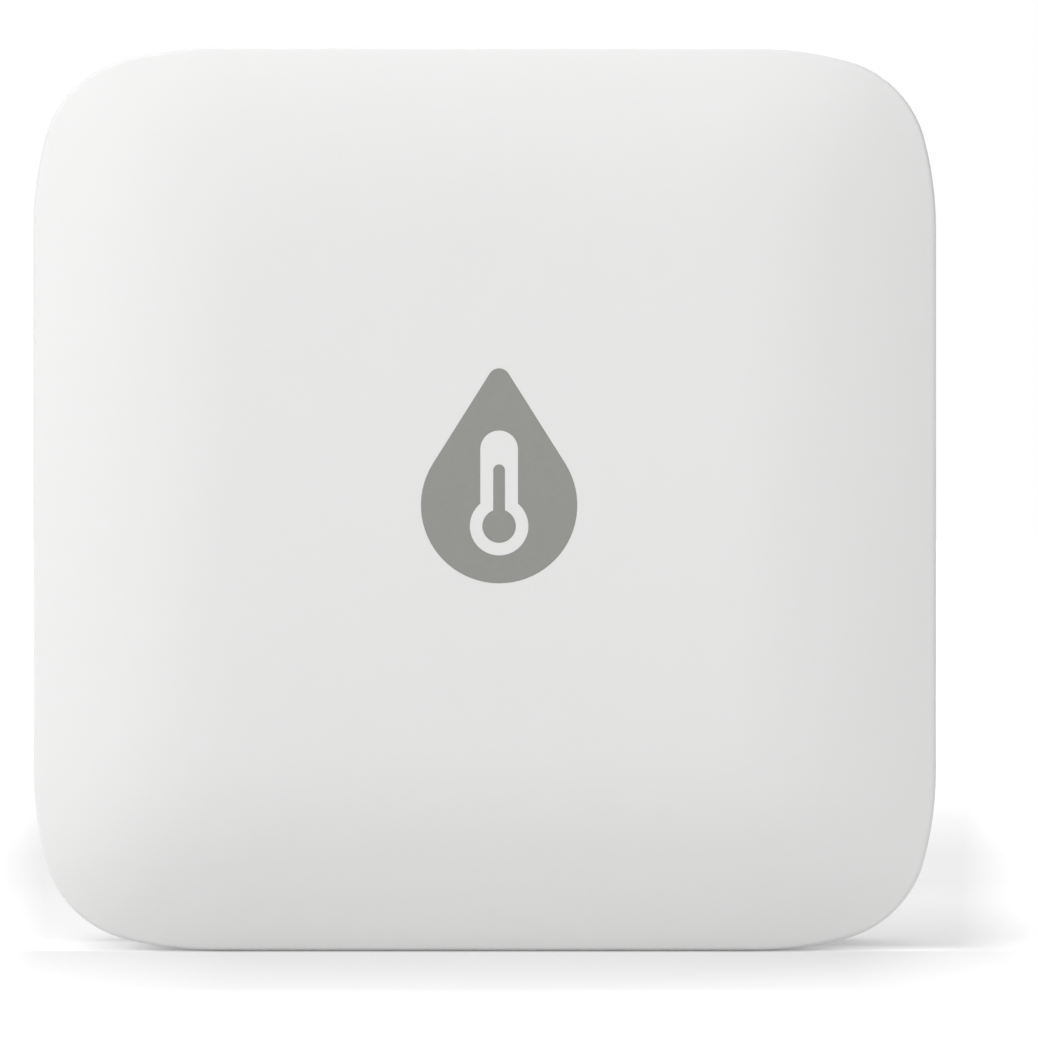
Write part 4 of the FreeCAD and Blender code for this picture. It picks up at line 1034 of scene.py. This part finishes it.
# Radio module
# A small board of its own, soldered to the main board's front by gilt half-holes along its edges.
# A pressed steel can covers its chips, and a folded track at its upper end is the antenna.

module_front = -5.0
can_front = -7.3
pad_middle = -4.62


def antenna_routes():
    """A track folded six times between two levels, and its tap to ground."""
    left = -7.6
    low = 50.4
    high = 54.4
    fold = 2.3
    start = 48.9
    folded = [(left, start), (left, high)]
    for step in range(6):
        near = left + fold * (step + 0.5)
        folded += [(near, high), (near, low), (near + fold / 2, low), (near + fold / 2, high)]
    return [folded, [(left + 2.0, start), (left + 2.0, 50.0), (left + 0.21, 50.0)]]


def make_radio_module():
    mask = solder_mask("module_blue", (0.012, 0.022, 0.075), (0.02, 0.035, 0.11))
    carried_over("module_panel", "wifi_module_board", mask, "module_blue")
    steel = metal("shield_steel", (0.66, 0.66, 0.64), 0.3, (1.0, 1.0, 14.0), 0.0006)
    carried_over("shield_can", "wifi_shield", steel, "shield_steel")
    bm = bmesh.new()
    tracks(bm, antenna_routes(), module_front, -1, 0.42, 0.05)
    add_piece("antenna_track", mesh_of(bm), gilt, "contact_nickel")
    pad = boxes_mesh(0.05, ((-0.5, -0.43, -0.42), (0.5, 0.43, 0.42)))
    places = [(side * 8.62, pad_middle, 31.4 + wide_pitch * step) for side in (-1, 1) for step in range(14)]
    places += [(-7.0 + wide_pitch * step, pad_middle, 30.1, 0, 90, 0) for step in range(12)]
    add_copies("module_pads", pad, places, gilt, "contact_nickel")
    profile = ((-0.02, 0.42), (0.03, 0.42), (0.03, 0.36), (-0.01, 0.3), (-0.01, 0))
    dimple = turned_mesh(profile, 16, axis=(0, -1, 0))
    places = [(-4.5 + 3.0 * column, can_front, 34.0 + 3.6 * row) for column in range(4) for row in range(4)]
    add_copies("shield_dimples", dimple, places, steel, "shield_steel")


make_radio_module()


# Parts on the board
# Moulded chips on bent tinned legs, a row of small ceramic parts, a shielded coil and a can capacitor.
# All are soldered to the back of the main board, above the battery bay.


def make_chips():
    finish = moulded("chip_black", (0.018, 0.018, 0.019), 0.5, 0.00009, 0.000004)
    carried_over("chip_blocks", "board_chips", finish, "chip_black")
    bm = bmesh.new()
    bent = ((0, 0.75), (0.3, 0.75), (0.55, 0.12), (1.0, 0.08), (1.0, 0.0), (0.5, 0.0), (0.22, 0.62), (0, 0.62))
    rings = [[Vector((across, height, out)) for out, height in bent] for across in (-0.16, 0.16)]
    rings_to_faces(bm, rings, capped=True)
    leg = mesh_of(bm)
    pad = boxes_mesh(0.03, ((-0.24, -0.03, 0.4), (0.24, 0.06, 1.08)))
    wide = [(memory[0] + wide_pitch * (step - 1.5), board_back, memory[1] + up, 0, turn, 0)
            for step in range(4) for up, turn in ((2, 0), (-2, 180))]
    fine = [(regulator[0] + across, board_back, regulator[1] + up, 0, turn, 0)
            for across, up, turn in ((-0.95, -0.8, 180), (0.95, -0.8, 180), (0, 0.8, 0))]
    for step in range(-3, 4):
        along = fine_pitch * step
        fine += [(controller[0] + across, board_back, controller[1] + up, 0, turn, 0) for across, up, turn in
                 ((along, 3.5, 0), (along, -3.5, 180), (3.5, along, 90), (-3.5, along, -90))]
    for name, places, size in (("wide", wide, 1.0), ("fine", fine, 0.7)):
        add_copies(f"{name}_legs", leg, places, tinned, "contact_nickel", size=size)
        add_copies(f"{name}_pads", pad, places, tinned, "contact_nickel", size=size)
    dot = turned_mesh(((0, 0), (0.012, 0.28), (0.012, 0.34), (-0.03, 0.36)), 20)
    places = [(controller[0] - 2.6, -2.3, controller[1] + 2.6), (memory[0] - 1.9, -1.6, memory[1] - 1.2)]
    add_copies("chip_dots", dot, places, finish, "chip_black")


def make_small_parts():
    tan = speckled("chip_tan", 0.0001, 3.0, (0.36, 0.25, 0.15), (0.52, 0.40, 0.27), 0.42, 0.15, 0.000004)
    places = [(across, -2.9, 41.9) for across in small_part_places]
    middle = boxes_mesh(0.05, ((-0.38, -0.28, -0.5), (0.38, 0.28, 0.5)))
    add_copies("small_part_bodies", middle, places, tan, "chip_tan", "chip_parts")
    ends = [((-0.4, -0.3, low), (0.4, 0.3, low + 0.34)) for low in (-0.8, 0.46)]
    add_copies("small_part_ends", boxes_mesh(0.06, *ends), places, tinned, "contact_nickel")


def bevelled(mesh, width, segments):
    """A mesh with its sharp edges rounded."""
    piece = loose_object("piece", mesh)
    bevel = piece.modifiers.new("bevel", "BEVEL")
    bevel.width = width
    bevel.segments = segments
    return final_mesh(piece)


def make_coil():
    ferrite = moulded("ferrite_grey", (0.07, 0.07, 0.073), 0.55, 0.00012, 0.000006)
    across, up = coil
    corners = [(3, 2), (2, 3), (-2, 3), (-3, 2), (-3, -2), (-2, -3), (2, -3), (3, -2)]
    block = filled_mesh([(across + u, up + v) for u, v in corners], -3.1, -0.2)
    block = bevelled(block, 0.00018, 3)
    profile = ((-0.7, 2.05), (-0.7, 2.45), (0.2, 2.45), (0.2, 2.05), (-0.7, 2.05))
    groove = turned_mesh(profile, 48, (across, 0, up))
    block = combined(block, groove)
    for polygon in block.polygons:
        polygon.use_smooth = False
    add_piece("coil_block", block, ferrite, "ferrite_grey", "power_inductor")
    ends = [((across + out - 0.32, -3.2, up - 1.0), (across + out + 0.32, -2.2, up + 1.0)) for out in (-2.75, 2.75)]
    add_piece("coil_ends", boxes_mesh(0.06, *ends), tinned, "contact_nickel")


def make_capacitor():
    can = metal("capacitor_can", (0.74, 0.74, 0.75), 0.24, (1.0, 6.0, 1.0), 0.0005)
    carried_over("capacitor_can", "bulk_capacitor", can, "capacitor_can", 35)
    black = moulded("base_black", (0.02, 0.02, 0.022), 0.45, 0.0001, 0.000003)
    half = 3.3
    corners = [(-1, -1), (1, -1), (1, 0.55), (0.55, 1), (-0.55, 1), (-1, 0.55)]
    base = filled_mesh([(capacitor[0] + half * u, capacitor[1] + half * v) for u, v in corners], -3.1, -2.3)
    add_piece("capacitor_base", bevelled(base, 0.0001, 2), black, "switch_black")
    mark = filled_mesh(arc_points(capacitor, 2.7, 125, 235, 24), 4.47, 4.515)
    add_piece("capacitor_mark", mark, black, "switch_black")


tinned = metal("tinned_legs", (0.68, 0.68, 0.67), 0.33)
make_chips()
make_small_parts()
make_coil()
make_capacitor()


# Humidity sensor
# A tiny moulded sensor on the tongue of the board, in the air of the side vents.
# A round opening in its top shows the pale membrane over the sensing layer.


def make_humidity_sensor():
    finish = moulded("sensor_black", (0.02, 0.02, 0.021), 0.45, 0.00008, 0.000003)
    carried_over("sensor_block", "humidity_sensor", finish, "chip_black")
    membrane = speckled("sensor_membrane", 0.00005, 4.0, (0.72, 0.72, 0.70), (0.86, 0.86, 0.84), 0.85, 0.0, 0.00001)
    window = turned_mesh(((0, 0), (0, 0.47), (0.05, 0.49), (0.08, 0.44), (0.1, 0)), 28, (-28.45, -2.62, 27.0))
    add_piece("sensor_window", window, membrane, "chip_tan")


make_humidity_sensor()


# Screws
# Zinc plated steel: four long self-tapping screws hold the case and three short ones hold the board.
# Each has a low round head with a cross recess and a rolled thread that ends in a point.

case_screw_seat = 4.0


def threaded_shank(bm, length, crest):
    """A rolled thread: the shank's radius rises and falls along one helix, and tapers at the tip."""
    root = crest * 0.72
    pitch = 0.8
    tip = 1.6
    sides = 18
    count = round(length / pitch * 8)
    rows = [[Vector((0, 0, 0))]]
    for step in range(count + 1):
        along = length * step / count
        taper = min(1.0, (length - along) / tip + 0.12)
        row = []
        for index in range(sides):
            angle = 2 * math.pi * index / sides
            phase = (along / pitch - index / sides) % 1.0
            ridge = max(0.0, 1 - abs(phase - 0.5) * 4.2)
            radius = (root + (crest - root) * ridge) * taper
            row.append(Vector((radius * math.cos(angle), -along, radius * math.sin(angle))))
        rows.append(row)
    rings_to_faces(bm, rows + [[Vector((0, -length, 0))]])


def recess_arm(head, height, turned):
    """One arm of a cross recess, which narrows to its foot."""
    turn = Matrix.Rotation(math.radians(turned), 3, "Y")
    mouth = (height + 0.1, head * 0.5, head * 0.1495)
    foot = (height * 0.3, head * 0.225, head * 0.091)
    rings = []
    for level, reach, half in (mouth, foot):
        corners = ((-reach, -half), (reach, -half), (reach, half), (-reach, half))
        rings.append([turn @ Vector((across, level, up)) for across, up in corners])
    bm = bmesh.new()
    rings_to_faces(bm, rings, capped=True)
    return mesh_of(bm)


def screw_form(head, height, crest, length):
    """A screw along its own depth axis, seated at zero with its head above."""
    profile = [(-0.001, 0), (-0.001, head * 0.98), (0.08, head), (height * 0.5, head)]
    for step in range(1, 8):
        angle = math.pi / 2 * step / 8
        profile.append((height * (0.5 + 0.5 * math.sin(angle)), head * (0.35 + 0.65 * math.cos(angle))))
    profile.append((height, 0))
    top = turned_mesh(profile, 40)
    for turned in (0, 90):
        top = combined(top, recess_arm(head, height, turned))
    bm = bmesh.new()
    threaded_shank(bm, length, crest)
    bmesh.ops.scale(bm, vec=(MM, MM, MM), verts=bm.verts)
    bm.from_mesh(top)
    return mesh_of(bm, 1.0, 38)


def make_screws():
    zinc = metal("screw_zinc", (0.70, 0.71, 0.73), 0.27, grain=0.00012)
    places = [(across * screw_reach, case_screw_seat, middle_z / MM + up * screw_reach,
               0, 20 + 37 * across + 11 * up, 0) for across in (-1, 1) for up in (-1, 1)]
    add_copies("case_screws", screw_form(2.1, 1.4, 1.0, 10.0), places, zinc, "screw_zinc", "housing_screws")
    places = [(across, board_back, up, 0, turn, 0) for (across, up), turn in zip(post_places, (12, 50, 75))]
    add_copies("panel_screws", screw_form(1.8, 1.2, 0.9, 5.0), places, zinc, "screw_zinc", "board_screws")


make_screws()


# Cells
# Two AAA cells side by side, nose to tail: a drawn steel can with a shoulder and a raised end.
# A printed shrink film covers each, slate blue with a pale band and a plus sign at its raised end.

cell_y = 3.8
upper_level = 32.55
lower_level = 21.45
sleeve_radius = 5.25


def sleeve_finish(name, band_start, band_end):
    """Printed film whose bright band, edged with white lines, lies between two places along the cell."""
    finish = Finish(name)
    place = finish.place()
    along = finish.parts(place)[0]
    low, high = sorted((band_start * MM, band_end * MM))
    line = 0.6 * MM
    band = (along > low) * (along < high)
    within = (along > low - line) * (along < high + line)
    edges = (along > low - 2 * line) * (along < high + 2 * line) * (1 - within)
    speck = finish.noise(0.00008, 2.0, place)
    broad = finish.noise(0.008, 2.0, place)
    body = finish.mix(broad, (0.055, 0.085, 0.115), (0.065, 0.10, 0.135))
    bright = finish.mix(speck, (0.36, 0.40, 0.42), (0.42, 0.46, 0.48))
    striped = finish.mix(edges, finish.mix(band, body, bright), (0.72, 0.72, 0.70))
    return finish.surface(Base_Color=striped, Roughness=0.24 + speck * 0.08, Coat_Weight=0.5, Coat_Roughness=0.1,
                          Normal=finish.bump(broad, 0.00002))


def wrapped_bar(bm, along, across, level):
    """A flat bar of print bent round the back of a cell, from its extents along and across."""
    steps = max(1, round((across[1] - across[0]) / 0.15))
    rings = []
    for step in range(steps + 1):
        angle = (across[0] + (across[1] - across[0]) * step / steps) / sleeve_radius
        ring = []
        for index, raised in ((0, -0.02), (1, -0.02), (1, 0.02), (0, 0.02)):
            radius = sleeve_radius + raised
            ring.append(Vector((along[index], cell_y + radius * math.cos(angle), level + radius * math.sin(angle))))
        rings.append(ring)
    rings_to_faces(bm, rings, capped=True)


def make_cells():
    steel = metal("cell_can", (0.70, 0.70, 0.69), 0.22, (8.0, 1.0, 1.0), 0.0004)
    white = speckled("sign_white", 0.0002, 2.0, (0.74, 0.74, 0.72), (0.82, 0.82, 0.80), 0.35, 0.1, 0.000003)
    grey = moulded("washer_grey", (0.10, 0.10, 0.10), 0.6, 0.0001, 0.000004)
    washer = ((-0.2, 2.1), (0.06, 2.1), (0.1, 2.2), (0.1, 3.6), (0.02, 3.8), (-0.2, 3.8), (-0.2, 2.1))
    half = 0.28
    arm = 1.5
    for name, level, facing in (("upper", upper_level, 1), ("lower", lower_level, -1)):
        carried_over(f"{name}_can", f"{name}_cell", steel, "cell_can", 35)
        film = sleeve_finish(f"{name}_film", facing * 12.5, facing * 21.0)
        carried_over(f"{name}_film", f"{name}_cell_sleeve", film, "cell_sleeve", 35)
        plus = facing * 16.7
        minus = facing * -15.5
        bm = bmesh.new()
        wrapped_bar(bm, (plus - arm, plus + arm), (-half, half), level)
        wrapped_bar(bm, (plus - half, plus + half), (half, arm), level)
        wrapped_bar(bm, (plus - half, plus + half), (-arm, -half), level)
        wrapped_bar(bm, (minus - half, minus + half), (-arm, arm), level)
        add_piece(f"{name}_cell_signs", mesh_of(bm), white, "cell_sleeve")
        ring = turned_mesh(washer, 48, (facing * 23.85, cell_y, level), (facing, 0, 0))
        add_piece(f"{name}_cell_washer", ring, grey, "switch_black")


make_cells()


# Battery contacts
# Nickel plated spring steel: a bridge across one end of the bay, and two plates whose tails reach the board.
# A pressed dimple meets each raised end, a conical spring each flat end; two tails are soldered to the board.


def make_contacts():
    strip = metal("contact_nickel", (0.76, 0.74, 0.69), 0.26, (1.0, 1.0, 10.0), 0.0004)
    wire = metal("spring_nickel", (0.78, 0.77, 0.73), 0.22, grain=0.0001)
    for name, node in (("bridge", "bridge_plate"), ("plus", "positive_plate"), ("minus", "negative_plate")):
        carried_over(f"{name}_strip", node, strip, "contact_nickel")
    for name, node in (("bridge", "bridge_spring"), ("minus", "negative_spring")):
        carried_over(f"{name}_coil", node, wire, "contact_nickel", 60)
    solder = metal("solder", (0.72, 0.72, 0.71), 0.28)
    tail = -25.8
    bm = bmesh.new()
    for level in (lower_level, upper_level):
        rings = []
        for share, tall in ((-1.0, 0.15), (-0.85, 0.6), (0.85, 0.6), (1.0, 0.15)):
            slope = [(-0.75, 0.0), (-0.35, tall * 0.4), (-0.2, tall), (0.2, tall), (0.35, tall * 0.4), (0.75, 0.0),
                     (0, -0.05)]
            rings.append([Vector((tail + out, board_back + up, level + share * 1.7)) for out, up in slope])
        rings_to_faces(bm, rings, capped=True)
    add_piece("tail_solder", mesh_of(bm), solder, "contact_nickel")


make_contacts()
